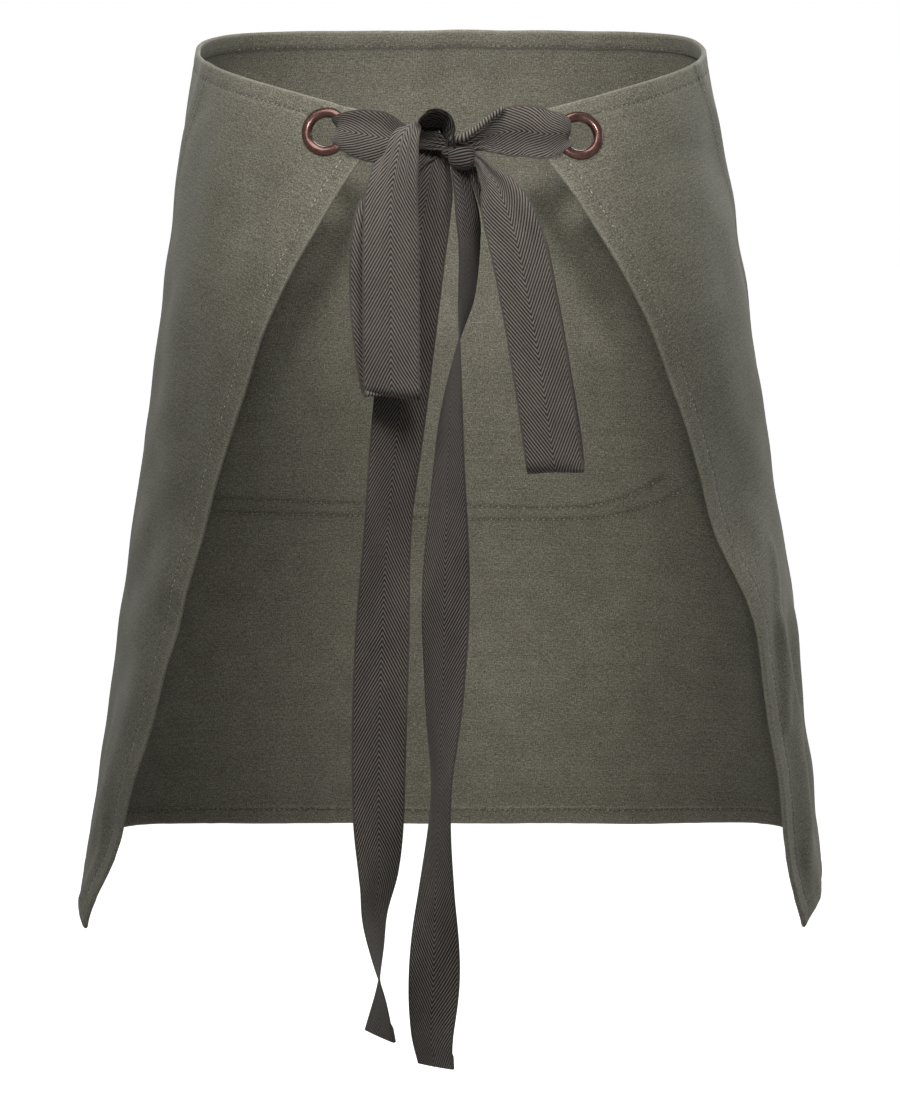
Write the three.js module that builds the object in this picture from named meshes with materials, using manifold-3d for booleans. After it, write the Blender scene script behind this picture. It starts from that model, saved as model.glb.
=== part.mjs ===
// Waist apron: a canvas panel wrapped round the hips, hemmed on the inside, with two eyelets at its top
// back corners and two tapes that are looped through them and tied in a bow.
// Millimetres, +Z up. The origin is the middle of the waist opening, level with the top edge over the hips.
// +Y points to the wearer's front, -Y to the bow.
import * as THREE from 'three';
import { mergeVertices } from 'three/addons/utils/BufferGeometryUtils.js';
import Module from 'manifold-3d';

// Driving dimensions
const panelWidth = 730;
const panelHeight = 500;
const clothThickness = 1.2;
const hemWidth = 11;
const hemThickness = 1.2;
const fitGap = 0.3;

const eyeletAcross = 339;
const eyeletDown = 16;
const eyeletOuter = 13.5;
const eyeletInner = 8.2;
const eyeletBarrel = 9.4;
const eyeletDome = 2.9;
const eyeletShoulder = 2.1;
const eyeletEdge = 0.6;
const washerOuter = 12.5;
const washerThickness = 0.8;

const tapeWidth = 32;
const tapeThickness = 1;
const pleatCount = 2;
const pleatLimit = 1.5;

const knot = { x: 0.5, y: -107, z: -58 };

const halfWidth = panelWidth / 2;

// Heights of the cloth: the front of the top edge, the fall per unit of cloth, and how far the top and
// bottom edges drop from the front to the back corners
const frontTop = 8;
const steepness = 0.985;
const rimDrop = { depth: 45, power: 2.3 };
const hemDrop = { depth: 25, power: 8 };

// Plan sections of the wrapped cloth, from the top edge down. down: along the cloth. left, right: half widths.
// front: where the section crosses the front. middle: where it is widest. leftBack, rightBack: depth of the
// back quarters behind the middle. square: exponent of the front quarters, where 2 is an ellipse.
const sections = [
  { down: 0, left: 148, right: 149, front: 87, middle: 9, leftBack: 112, rightBack: 112, square: 2.5 },
  { down: 50, left: 155, right: 158, front: 100, middle: 6, leftBack: 124, rightBack: 126, square: 2.5 },
  { down: 120, left: 164, right: 170, front: 110, middle: -1, leftBack: 138, rightBack: 138, square: 2.5 },
  { down: 220, left: 177, right: 185, front: 116, middle: -2, leftBack: 145, rightBack: 146, square: 2.7 },
  { down: 340, left: 195, right: 203, front: 118, middle: -2, leftBack: 145, rightBack: 158, square: 3 },
  { down: 430, left: 208, right: 213, front: 119, middle: -2, leftBack: 166, rightBack: 154, square: 3.3 },
  { down: 500, left: 219, right: 222, front: 120, middle: -6, leftBack: 205, rightBack: 148, square: 3.5 },
];
const backSquare = 2.3;

// Soft folds. across, down: the middle on the cloth. wide, tall: half spans. lean: how far the fold shifts
// across for each unit down. out: height, outwards from the body where positive.
const folds = [
  { across: 352, down: 238, wide: 34, tall: 30, lean: 0, out: -5 },
  { across: 358, down: 300, wide: 30, tall: 26, lean: 0, out: 5 },
  { across: 338, down: 395, wide: 12, tall: 60, lean: 0.05, out: 4 },
  { across: 318, down: 405, wide: 11, tall: 70, lean: 0.05, out: -4 },
  { across: 356, down: 462, wide: 16, tall: 34, lean: 0, out: -6 },
  { across: 262, down: 60, wide: 34, tall: 24, lean: -0.2, out: -3 },
  { across: -352, down: 292, wide: 22, tall: 20, lean: 0, out: 3 },
  { across: -354, down: 470, wide: 16, tall: 26, lean: 0, out: 5 },
  { across: -300, down: 380, wide: 24, tall: 110, lean: 0.1, out: -4 },
  { across: -150, down: 400, wide: 42, tall: 120, lean: 0.12, out: 4 },
  { across: 170, down: 420, wide: 40, tall: 110, lean: -0.1, out: 3 },
  { across: 20, down: 440, wide: 60, tall: 90, lean: 0, out: -3 },
];

// Cloth pressed flat round each eyelet, fading out between these radii
const flatInside = 16;
const flatOutside = 34;

// Cubic through table values at given stations
function smoothAlong(stations, values, at) {
  const last = stations.length - 1;
  let k = 0;
  while (k < last - 1 && at >= stations[k + 1]) k += 1;
  const slope = (i) => {
    const a = Math.max(i - 1, 0);
    const b = Math.min(i + 1, last);
    return (values[b] - values[a]) / (stations[b] - stations[a]);
  };
  const span = stations[k + 1] - stations[k];
  const t = (at - stations[k]) / span;
  const start = (1 + 2 * t) * (1 - t) ** 2 * values[k] + t * (1 - t) ** 2 * span * slope(k);
  const end = t * t * (3 - 2 * t) * values[k + 1] + t * t * (t - 1) * span * slope(k + 1);
  return start + end;
}

const sectionStations = sections.map((row) => row.down);

function sectionValue(column, down) {
  return smoothAlong(sectionStations, sections.map((row) => row[column]), down);
}

// Point of one quarter superellipse, turned from its y axis towards its x axis
function superellipse(angle, width, depth, power) {
  const x = Math.sin(angle);
  const y = Math.cos(angle);
  const radius = ((x / width) ** power + (y / depth) ** power) ** (-1 / power);
  return [radius * x, radius * y];
}

// Half of a plan section as a polyline from the front to past the back corner, with its running length
const arcSteps = 90;

function halfSection(down, side) {
  const width = sectionValue(side < 0 ? 'left' : 'right', down);
  const middle = sectionValue('middle', down);
  const front = sectionValue('front', down) - middle;
  const back = sectionValue(side < 0 ? 'leftBack' : 'rightBack', down);
  const square = sectionValue('square', down);
  const points = [];
  for (let i = 0; i <= 2 * arcSteps; i += 1) {
    const angle = (Math.PI / 2) * (i / arcSteps);
    if (i <= arcSteps) {
      const [x, y] = superellipse(angle, width, front, square);
      points.push([side * x, middle + y]);
    } else {
      const [x, y] = superellipse(Math.PI - angle, width, back, backSquare);
      points.push([side * x, middle - y]);
    }
  }
  const lengths = [0];
  for (let i = 1; i < points.length; i += 1) {
    const step = Math.hypot(points[i][0] - points[i - 1][0], points[i][1] - points[i - 1][1]);
    lengths.push(lengths[i - 1] + step);
  }
  return { points, lengths };
}

const sectionCache = new Map();

function cachedSection(down, side) {
  const key = `${side}:${down}`;
  if (!sectionCache.has(key)) sectionCache.set(key, halfSection(down, side));
  return sectionCache.get(key);
}

// The wrapped cloth before folds: across runs along the top edge from the front, down along the cloth
function wrappedPoint(across, down) {
  const side = across < 0 ? -1 : 1;
  const { points, lengths } = cachedSection(down, side);
  const run = Math.abs(across);
  let k = 1;
  while (lengths[k] < run) k += 1;
  const t = (run - lengths[k - 1]) / (lengths[k] - lengths[k - 1]);
  const x = THREE.MathUtils.lerp(points[k - 1][0], points[k][0], t);
  const y = THREE.MathUtils.lerp(points[k - 1][1], points[k][1], t);
  const share = run / halfWidth;
  const low = down / panelHeight;
  const rim = rimDrop.depth * share ** rimDrop.power * (1 - low);
  const hem = hemDrop.depth * share ** hemDrop.power * low;
  return new THREE.Vector3(x, y, frontTop - steepness * down - rim - hem);
}

// Outward normal of a surface function, by differences over one millimetre
function outwardNormal(surface, across, down) {
  const reach = 0.5;
  const right = Math.min(across + reach, halfWidth);
  const left = Math.max(across - reach, -halfWidth);
  const low = Math.min(down + reach, panelHeight);
  const high = Math.max(down - reach, 0);
  const alongAcross = surface(right, down).sub(surface(left, down));
  const alongDown = surface(across, low).sub(surface(across, high));
  return alongAcross.cross(alongDown).normalize();
}

function foldHeight(across, down) {
  let height = 0;
  for (const fold of folds) {
    const a = (across - fold.across - fold.lean * (down - fold.down)) / fold.wide;
    const b = (down - fold.down) / fold.tall;
    height += fold.out * Math.exp(-a * a - b * b);
  }
  return height;
}

// Local frame of an eyelet: its middle on the cloth, the outward normal, and the level way to the bow
function eyeletFrame(side) {
  const across = side * eyeletAcross;
  const middle = wrappedPoint(across, eyeletDown);
  const out = outwardNormal(wrappedPoint, across, eyeletDown);
  const along = new THREE.Vector3().crossVectors(out, new THREE.Vector3(0, 0, 1)).normalize();
  along.multiplyScalar(along.x * side > 0 ? -1 : 1);
  return { across, middle, out, along };
}

const eyelets = { left: eyeletFrame(-1), right: eyeletFrame(1) };

// The cloth's middle surface with its folds and its flat places at the eyelets
function clothPoint(across, down) {
  const point = wrappedPoint(across, down);
  point.addScaledVector(outwardNormal(wrappedPoint, across, down), foldHeight(across, down));
  for (const frame of Object.values(eyelets)) {
    const distance = Math.hypot(across - frame.across, down - eyeletDown);
    const flat = 1 - THREE.MathUtils.smoothstep(distance, flatInside, flatOutside);
    const lift = point.clone().sub(frame.middle).dot(frame.out);
    point.addScaledVector(frame.out, -lift * flat);
  }
  return point;
}

// A point on the cloth moved along its outward normal
function offsetPoint(across, down, offset) {
  const normal = outwardNormal(clothPoint, across, down);
  return clothPoint(across, down).addScaledVector(normal, offset);
}

function spread(from, to, count) {
  return Array.from({ length: count + 1 }, (_, i) => from + ((to - from) * i) / count);
}

// Closed solid between two grids of points that share their rows and columns
function solidBetween(upper, lower) {
  const rows = upper.length;
  const columns = upper[0].length;
  const positions = [...upper.flat(), ...lower.flat()].flatMap((point) => point.toArray());
  const under = rows * columns;
  const index = [];
  const quad = (a, b, c, d) => index.push(a, b, c, a, c, d);
  for (let i = 0; i + 1 < rows; i += 1) {
    for (let j = 0; j + 1 < columns; j += 1) {
      const a = i * columns + j;
      const b = a + 1;
      const c = a + columns + 1;
      const d = a + columns;
      index.push(a, b, c, a, c, d);
      index.push(a + under, c + under, b + under, a + under, d + under, c + under);
    }
  }
  for (let j = 0; j + 1 < columns; j += 1) {
    const end = (rows - 1) * columns + j;
    quad(j + 1, j, j + under, j + 1 + under);
    quad(end, end + 1, end + 1 + under, end + under);
  }
  for (let i = 0; i + 1 < rows; i += 1) {
    const a = i * columns;
    const b = a + columns - 1;
    quad(a, a + columns, a + columns + under, a + under);
    quad(b + columns, b, b + under, b + columns + under);
  }
  const geometry = new THREE.BufferGeometry();
  geometry.setAttribute('position', new THREE.Float32BufferAttribute(positions, 3));
  geometry.setIndex(signedVolume(positions, index) > 0 ? index : index.toReversed());
  return geometry;
}

function signedVolume(positions, index) {
  const corner = (i) => new THREE.Vector3().fromArray(positions, 3 * index[i]);
  let volume = 0;
  for (let i = 0; i < index.length; i += 3) volume += corner(i).dot(corner(i + 1).cross(corner(i + 2)));
  return volume;
}

// Part of the cloth's surface as a wall between two offsets from its middle
function clothWall(columns, rows, outer, inner) {
  const grid = (offset) => rows.map((down) => columns.map((across) => offsetPoint(across, down, offset)));
  return solidBetween(grid(outer), grid(inner));
}

const wasm = await Module();
wasm.setup();

function toSolid(geometry) {
  const bare = geometry.clone();
  bare.deleteAttribute('normal');
  bare.deleteAttribute('uv');
  const merged = mergeVertices(bare, 1e-4);
  return new wasm.Manifold(
    new wasm.Mesh({
      numProp: 3,
      vertProperties: new Float32Array(merged.attributes.position.array),
      triVerts: new Uint32Array(merged.index.array),
    }),
  );
}

function toGeometry(solid) {
  const mesh = solid.getMesh();
  const geometry = new THREE.BufferGeometry();
  geometry.setAttribute('position', new THREE.Float32BufferAttribute(mesh.vertProperties, 3));
  geometry.setIndex(Array.from(mesh.triVerts));
  return geometry;
}

// The outside of a joined solid, without the pockets that its parts close in
function outerShell(solid) {
  const shells = solid.decompose();
  return shells.reduce((largest, shell) => (shell.volume() > largest.volume() ? shell : largest));
}

// Cylinder along an eyelet's normal, for the hole in the cloth and the room under the ring
const cutReach = 8;
const cutSides = 28;

function eyeletCutter(frame, radius) {
  const cutter = new THREE.CylinderGeometry(radius, radius, 2 * cutReach, cutSides);
  const turn = new THREE.Quaternion().setFromUnitVectors(new THREE.Vector3(0, 1, 0), frame.out);
  cutter.applyQuaternion(turn);
  cutter.translate(...frame.middle.toArray());
  return toSolid(cutter);
}

function cutForEyelets(geometry, radius) {
  let solid = toSolid(geometry);
  for (const frame of Object.values(eyelets)) solid = solid.subtract(eyeletCutter(frame, radius));
  return toGeometry(solid);
}

// Stations on the cloth: close together round the eyelets, and on the hems' inner edges
const closeReach = 24;
const columnSteps = { plain: 16, close: 5 };
const rowSteps = { close: 4, plain: 13 };
const halfColumns = [
  ...spread(0, eyeletAcross - closeReach, columnSteps.plain),
  ...spread(eyeletAcross - closeReach, halfWidth - hemWidth, columnSteps.close).slice(1),
  halfWidth,
];
const columns = [...halfColumns.slice(1).map((across) => -across).reverse(), ...halfColumns];
const rows = [
  0,
  ...spread(hemWidth, eyeletDown + closeReach, rowSteps.close),
  ...spread(eyeletDown + closeReach, panelHeight - hemWidth, rowSteps.plain).slice(1),
  panelHeight,
];

const halfCloth = clothThickness / 2;
const hemOuter = -halfCloth - fitGap;
const hemInner = hemOuter - hemThickness;

function panelGeometry() {
  return cutForEyelets(clothWall(columns, rows, halfCloth, -halfCloth), eyeletBarrel + fitGap);
}

function levelHem(from, to) {
  const strip = clothWall(columns, [from, to], hemOuter, hemInner);
  return cutForEyelets(strip, eyeletOuter + fitGap);
}

function sideHem(side) {
  const inner = rows.slice(2, -2);
  const between = [hemWidth + fitGap, ...inner, panelHeight - hemWidth - fitGap];
  const edge = side < 0 ? columns.slice(0, 2) : columns.slice(-2);
  return cutForEyelets(clothWall(edge, between, hemOuter, hemInner), eyeletOuter + fitGap);
}

// Ring with a domed outer flange, a barrel through the cloth and a flat inner flange
const eyeletSides = 18;

function eyeletGeometry() {
  const seat = halfCloth + fitGap;
  const crest = (eyeletOuter + eyeletInner) / 2;
  const profile = [
    [eyeletInner, -seat],
    [eyeletInner + eyeletEdge, -seat - washerThickness],
    [washerOuter - eyeletEdge, -seat - washerThickness],
    [washerOuter, -seat],
    [eyeletBarrel, -seat],
    [eyeletBarrel, seat],
    [eyeletOuter, seat],
    [eyeletOuter - eyeletEdge, eyeletShoulder],
    [crest, eyeletDome],
    [eyeletInner + eyeletEdge, eyeletShoulder],
    [eyeletInner, seat],
    [eyeletInner, -seat],
  ];
  return new THREE.LatheGeometry(profile.map(([radius, height]) => new THREE.Vector2(radius, height)), eyeletSides);
}

// Tape routes. x, y, z: the middle of the tape. wide: its width there, less than the tape's own where it is
// gathered. turn: degrees about the vertical from facing the wearer's back, or on a lead about its length.
const leftLoop = [
  { x: -5, y: -104, z: -56, wide: 9, turn: -90 },
  { x: -2, y: -106, z: -49, wide: 13, turn: -90 },
  { x: -2, y: -107, z: -40, wide: 18, turn: -88 },
  { x: -7.5, y: -108, z: -34.5, wide: 22, turn: -82 },
  { x: -14.5, y: -110, z: -38.5, wide: 25, turn: -62 },
  { x: -20, y: -113, z: -49, wide: 28, turn: -35 },
  { x: -26, y: -116, z: -63, wide: 30, turn: -14 },
  { x: -30, y: -118, z: -82, wide: 32, turn: -4 },
  { x: -33, y: -119, z: -130, wide: 32, turn: 0 },
  { x: -33, y: -118, z: -180, wide: 32, turn: 0 },
  { x: -32.5, y: -117, z: -189, wide: 32, turn: 0 },
  { x: -32.5, y: -114.5, z: -191.5, wide: 32, turn: 0 },
  { x: -33.5, y: -112, z: -189, wide: 32, turn: 0 },
  { x: -36, y: -111, z: -178, wide: 32, turn: 0 },
  { x: -40.5, y: -110.5, z: -138, wide: 32, turn: 0 },
  { x: -38, y: -110, z: -86, wide: 31, turn: 0 },
  { x: -31, y: -107.5, z: -67, wide: 22, turn: -30 },
  { x: -20, y: -104, z: -59.5, wide: 14, turn: -75 },
  { x: -9.5, y: -101.5, z: -57, wide: 9, turn: -85 },
];
const rightLoop = [
  { x: 12, y: -110, z: -59, wide: 9, turn: 0 },
  { x: 17, y: -111, z: -64, wide: 14, turn: 0 },
  { x: 23.5, y: -112, z: -72, wide: 22, turn: 0 },
  { x: 30, y: -113, z: -85, wide: 29, turn: 0 },
  { x: 37, y: -113.5, z: -104.5, wide: 32, turn: 0 },
  { x: 44, y: -113.5, z: -138, wide: 32, turn: 0 },
  { x: 51, y: -112.5, z: -178, wide: 32, turn: 0 },
  { x: 57.5, y: -110.5, z: -222, wide: 32, turn: 0 },
  { x: 59, y: -109.5, z: -232, wide: 32, turn: 0 },
  { x: 60, y: -107, z: -235, wide: 32, turn: 0 },
  { x: 60, y: -104.5, z: -232, wide: 32, turn: 0 },
  { x: 59, y: -103.5, z: -221, wide: 32, turn: 0 },
  { x: 52, y: -103, z: -178, wide: 32, turn: 0 },
  { x: 45, y: -103, z: -139, wide: 32, turn: 0 },
  { x: 37.5, y: -103, z: -105, wide: 31, turn: 0 },
  { x: 27, y: -103.5, z: -84, wide: 22, turn: 0 },
  { x: 13.5, y: -104, z: -64, wide: 9, turn: 0 },
];
const leftTail = [
  { x: -6.5, y: -102, z: -59, wide: 10, turn: 0 },
  { x: -9.5, y: -99, z: -67, wide: 20, turn: 0 },
  { x: -12.5, y: -97.5, z: -80, wide: 29, turn: 0 },
  { x: -17, y: -97, z: -104, wide: 32, turn: 5 },
  { x: -27.5, y: -97, z: -194, wide: 32, turn: 15 },
  { x: -35, y: -97, z: -266, wide: 32, turn: 32 },
  { x: -40, y: -97, z: -368, wide: 32, turn: 8 },
  { x: -41.5, y: -97, z: -430, wide: 32, turn: 24 },
  { x: -42.5, y: -97, z: -486, wide: 32, turn: 60 },
  { x: -43.5, y: -97, z: -518, wide: 32, turn: 76 },
  { x: -41, y: -97, z: -550, wide: 32, turn: 106 },
  { x: -42.5, y: -97, z: -566, wide: 32, turn: 122 },
];
const rightTail = [
  { x: 7, y: -107, z: -65, wide: 12, turn: 55 },
  { x: 7.5, y: -107, z: -76, wide: 20, turn: 62 },
  { x: 9, y: -107, z: -88, wide: 28, turn: 60 },
  { x: 11, y: -106, z: -106, wide: 32, turn: 67 },
  { x: 9, y: -106, z: -139, wide: 32, turn: 75 },
  { x: 5.5, y: -105, z: -163, wide: 32, turn: 91 },
  { x: 0.5, y: -104, z: -213, wide: 32, turn: 116 },
  { x: -1.5, y: -103, z: -275, wide: 32, turn: 138 },
  { x: -2.5, y: -103, z: -318, wide: 32, turn: 147 },
  { x: -3.5, y: -102, z: -368, wide: 32, turn: 133 },
  { x: -5, y: -102, z: -420, wide: 32, turn: 110 },
  { x: -7.5, y: -101, z: -478, wide: 32, turn: 129 },
  { x: -9, y: -101, z: -529, wide: 32, turn: 156 },
  { x: -10.5, y: -100, z: -566, wide: 32, turn: 140 },
  { x: -8.5, y: -100, z: -583, wide: 32, turn: 130 },
];
const leftLead = [
  { x: -25, y: -107.5, z: -48.5, wide: 28, turn: 0 },
  { x: -14.5, y: -106, z: -51, wide: 13, turn: 0 },
  { x: -6, y: -105, z: -54.5, wide: 9, turn: 0 },
];
const rightLead = [
  { x: 28, y: -108, z: -46, wide: 25, turn: 0 },
  { x: 19.5, y: -108, z: -50, wide: 14, turn: 0 },
  { x: 11.5, y: -107.5, z: -54.5, wide: 9, turn: 0 },
];

// Each lead starts at its sewn end, runs back inside the cloth and comes out through the eyelet.
// along: level from the eyelet's middle to the bow. out: from the middle of the cloth, outwards.
const throughEyelet = [
  { along: 50, out: -5.2, wide: 26 },
  { along: 42, out: -9.2, wide: 25 },
  { along: 30, out: -9.2, wide: 24 },
  { along: 15, out: -6.2, wide: 16 },
  { along: 6.5, out: -4.6, wide: 11 },
  { along: 3.2, out: 0, wide: 10.5 },
  { along: 6.3, out: 5.2, wide: 11.5 },
  { along: 13, out: 6.2, wide: 17 },
  { along: 23, out: 4, wide: 27 },
  { along: 34, out: 1.4, wide: 31 },
];

function leadRoute(frame, rest) {
  const start = throughEyelet.map((row) => {
    const place = frame.middle.clone();
    place.addScaledVector(frame.along, row.along).addScaledVector(frame.out, row.out);
    return { x: place.x, y: place.y, z: place.z, wide: row.wide, turn: 0 };
  });
  return [...start, ...rest];
}

// Tape swept along its route. Where it is narrower than it was woven, the rest of its width is in pleats.
function tape(route, { steps, strips, lead = false }) {
  const stations = route.map((_, i) => i);
  const column = (name) => route.map((row) => row[name]);
  const points = route.map((row) => new THREE.Vector3(row.x, row.y, row.z));
  const curve = new THREE.CatmullRomCurve3(points, false, 'centripetal');
  const face = [];
  const back = [];
  for (let i = 0; i <= steps * (route.length - 1); i += 1) {
    const at = i / steps;
    const t = at / (route.length - 1);
    const tangent = curve.getTangent(t);
    const wide = Math.min(smoothAlong(stations, column('wide'), at), tapeWidth);
    const turn = THREE.MathUtils.degToRad(smoothAlong(stations, column('turn'), at));
    const level = new THREE.Vector3(Math.cos(turn), Math.sin(turn), 0);
    const upright = new THREE.Vector3(0, Math.sin(turn), Math.cos(turn));
    const across = lead ? upright : level;
    across.addScaledVector(tangent, -across.dot(tangent)).normalize();
    const normal = new THREE.Vector3().crossVectors(across, tangent);
    const slack = (wide / (Math.PI * pleatCount)) * Math.sqrt(Math.max(tapeWidth / wide - 1, 0));
    const pleat = Math.min(slack, pleatLimit);
    const line = spread(-0.5, 0.5, strips).map((share) => {
      const point = curve.getPoint(t).addScaledVector(across, share * wide);
      return point.addScaledVector(normal, pleat * Math.sin(2 * Math.PI * pleatCount * share));
    });
    face.push(line.map((point) => point.clone().addScaledVector(normal, tapeThickness / 2)));
    back.push(line.map((point) => point.clone().addScaledVector(normal, -tapeThickness / 2)));
  }
  return toSolid(solidBetween(face, back));
}

// The bow's knot, turned about the level line through it: a wrap of the right tape, which is a cup open to
// the left, and the bundle of the left tape that it holds. reach: along the line from the knot's left end.
const knotWrap = [
  { radius: 0, reach: 9 },
  { radius: 5.2, reach: 9 },
  { radius: 5.2, reach: 0.2 },
  { radius: 6.4, reach: 0 },
  { radius: 7.8, reach: 2 },
  { radius: 8.3, reach: 6.8 },
  { radius: 7.6, reach: 11.5 },
  { radius: 4.2, reach: 13.5 },
  { radius: 0, reach: 13.5 },
];
const knotBundle = [
  { radius: 0, reach: -14 },
  { radius: 4, reach: -13 },
  { radius: 6.5, reach: -9 },
  { radius: 6.5, reach: -4 },
  { radius: 4.8, reach: -0.6 },
  { radius: 4.8, reach: 8.5 },
  { radius: 0, reach: 8.5 },
];
const knotSides = 16;

function turnedOnKnot(section) {
  const outline = section.map((row) => new THREE.Vector2(row.radius, row.reach));
  const turned = new THREE.LatheGeometry(outline, knotSides);
  turned.rotateZ(-Math.PI / 2);
  turned.translate(knot.x, knot.y, knot.z);
  return toSolid(turned);
}

const tapeSteps = { steps: 2, strips: 6 };
const tailSteps = { steps: 2, strips: 4 };

function leftTie() {
  const lead = tape(leadRoute(eyelets.left, leftLead), { ...tapeSteps, lead: true });
  const loop = tape(leftLoop, tapeSteps);
  const tail = tape(leftTail, tailSteps);
  return toGeometry(outerShell(turnedOnKnot(knotBundle).add(lead).add(loop).add(tail)));
}

function rightTie() {
  const lead = tape(leadRoute(eyelets.right, rightLead), { ...tapeSteps, lead: true });
  const loop = tape(rightLoop, tapeSteps);
  const tail = tape(rightTail, tailSteps);
  return toGeometry(outerShell(turnedOnKnot(knotWrap).add(lead).add(loop).add(tail)));
}

function canvas() {
  return new THREE.MeshStandardMaterial({ color: 0x67655a, roughness: 0.9, metalness: 0 });
}

function twillTape() {
  return new THREE.MeshStandardMaterial({ color: 0x4c4844, roughness: 0.85, metalness: 0 });
}

function copper() {
  return new THREE.MeshStandardMaterial({ color: 0x8a5648, roughness: 0.35, metalness: 1 });
}

function piece(name, geometry, material) {
  const mesh = new THREE.Mesh(geometry, material);
  mesh.name = name;
  return mesh;
}

const apron = new THREE.Group();
apron.add(piece('apron_panel', panelGeometry(), canvas()));
apron.add(piece('waist_hem', levelHem(0, hemWidth), canvas()));
apron.add(piece('bottom_hem', levelHem(panelHeight - hemWidth, panelHeight), canvas()));
apron.add(piece('side_hem_left', sideHem(-1), canvas()));
apron.add(piece('side_hem_right', sideHem(1), canvas()));
for (const [side, frame] of Object.entries(eyelets)) {
  const eyelet = piece(`eyelet_${side}`, eyeletGeometry(), copper());
  eyelet.position.copy(frame.middle);
  eyelet.quaternion.setFromUnitVectors(new THREE.Vector3(0, 1, 0), frame.out);
  apron.add(eyelet);
}
apron.add(piece('tie_left', leftTie(), twillTape()));
apron.add(piece('tie_right', rightTie(), twillTape()));

export default apron;
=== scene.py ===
import math

import bmesh
import bpy
import numpy as np
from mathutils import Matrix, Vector


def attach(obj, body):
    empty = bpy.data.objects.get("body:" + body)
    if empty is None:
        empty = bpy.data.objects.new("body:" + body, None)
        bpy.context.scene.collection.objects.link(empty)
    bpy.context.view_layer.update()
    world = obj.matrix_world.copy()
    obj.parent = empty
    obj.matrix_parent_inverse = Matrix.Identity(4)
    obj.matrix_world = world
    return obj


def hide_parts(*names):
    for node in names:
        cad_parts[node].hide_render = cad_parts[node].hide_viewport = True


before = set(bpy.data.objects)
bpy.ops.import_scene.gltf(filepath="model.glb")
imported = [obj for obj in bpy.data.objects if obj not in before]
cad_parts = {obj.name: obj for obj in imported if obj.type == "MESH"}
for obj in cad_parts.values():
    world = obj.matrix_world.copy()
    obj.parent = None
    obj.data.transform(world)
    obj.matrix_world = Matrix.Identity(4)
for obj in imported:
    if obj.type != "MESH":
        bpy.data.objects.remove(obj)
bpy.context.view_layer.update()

mm = 0.001    # tables and sizes below are in millimetres, meshes in metres


# Small helpers for tables, meshes and nodes
def smoothStep(value, low, high):
    t = np.clip((np.asarray(value, float) - low) / (high - low), 0, 1)
    return t * t * (3 - 2 * t)


def within(value, start, end):
    return smoothStep(value, *start) * (1 - smoothStep(value, *end))


# Smooth curve through the values of a table
def smoothAlong(stations, values, at):
    x = np.asarray(stations, float)
    y = np.asarray(values, float)
    at = np.asarray(at, float)
    slope = np.empty(len(x))
    slope[1:-1] = (y[2:] - y[:-2]) / (x[2:] - x[:-2])
    slope[0] = (y[1] - y[0]) / (x[1] - x[0])
    slope[-1] = (y[-1] - y[-2]) / (x[-1] - x[-2])
    k = np.clip(np.searchsorted(x, at, side="right") - 1, 0, len(x) - 2)
    span = x[k + 1] - x[k]
    t = (at - x[k]) / span
    start = (1 + 2 * t) * (1 - t) ** 2 * y[k] + t * (1 - t) ** 2 * span * slope[k]
    end = t * t * (3 - 2 * t) * y[k + 1] + t * t * (t - 1) * span * slope[k + 1]
    return start + end


def unit(vectors):
    return vectors / np.linalg.norm(vectors, axis=-1, keepdims=True)


def runAlong(line):
    return np.concatenate([[0], np.cumsum(np.linalg.norm(np.diff(line, axis=0), axis=1))])


# The four corners of each cell in a grid of points
def gridCells(rows, columns):
    at = np.arange(rows * columns).reshape(rows, columns)
    return np.stack([at[:-1, :-1], at[:-1, 1:], at[1:, 1:], at[1:, :-1]], -1).reshape(-1, 4)


def addObject(name, data):
    made = bpy.data.objects.new(name, data)
    bpy.context.scene.collection.objects.link(made)
    return made


# Points and their places on the flat cloth in millimetres, one row a vertex, and a tone a vertex of rubbed
# paleness and painted light and shade
def meshObject(name, points, faces, material, uv=None, wearAndPaintedShading=None, sharpDegrees=None):
    mesh = bpy.data.meshes.new(name)
    mesh.from_pydata([tuple(p) for p in np.asarray(points) * mm], [], [tuple(f) for f in faces])
    corner = np.empty(len(mesh.loops), np.int32)
    mesh.loops.foreach_get("vertex_index", corner)
    if uv is not None:
        layer = mesh.uv_layers.new(name="flat")
        layer.data.foreach_set("uv", (np.asarray(uv) * mm)[corner].astype(np.float32).ravel())
    if wearAndPaintedShading is not None:
        wornAndShaded = mesh.attributes.new("wearAndPaintedShading", "FLOAT", "POINT")
        wornAndShaded.data.foreach_set("value", np.asarray(wearAndPaintedShading, np.float32))
    shape = bmesh.new()
    shape.from_mesh(mesh)
    bmesh.ops.remove_doubles(shape, verts=shape.verts, dist=0.002 * mm)
    bmesh.ops.delete(shape, geom=[v for v in shape.verts if not v.link_faces], context="VERTS")
    bmesh.ops.recalc_face_normals(shape, faces=shape.faces)
    shape.to_mesh(mesh)
    shape.free()
    mesh.polygons.foreach_set("use_smooth", [True] * len(mesh.polygons))
    if sharpDegrees is not None:
        mesh.set_sharp_from_angle(angle=math.radians(sharpDegrees))
    mesh.materials.append(material)
    return addObject(name, mesh)


# Sets inputs by label or number, each to a value or to another node's output
def setInputs(tree, node, inputs):
    for label, value in inputs.items():
        if isinstance(value, bpy.types.NodeSocket):
            tree.links.new(value, node.inputs[label])
        else:
            node.inputs[label].default_value = value


def addNode(tree, kind, inputs=None, **settings):
    made = tree.nodes.new(kind)
    for key, value in settings.items():
        setattr(made, key, value)
    setInputs(tree, made, inputs or {})
    return made


def mathNode(tree, operation, *values):
    return addNode(tree, "ShaderNodeMath", dict(enumerate(values)), operation=operation).outputs[0]


def newMaterial(name):
    material = bpy.data.materials.new(name)
    material.use_nodes = True
    tree = material.node_tree
    return material, tree, tree.nodes["Principled BSDF"]


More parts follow.
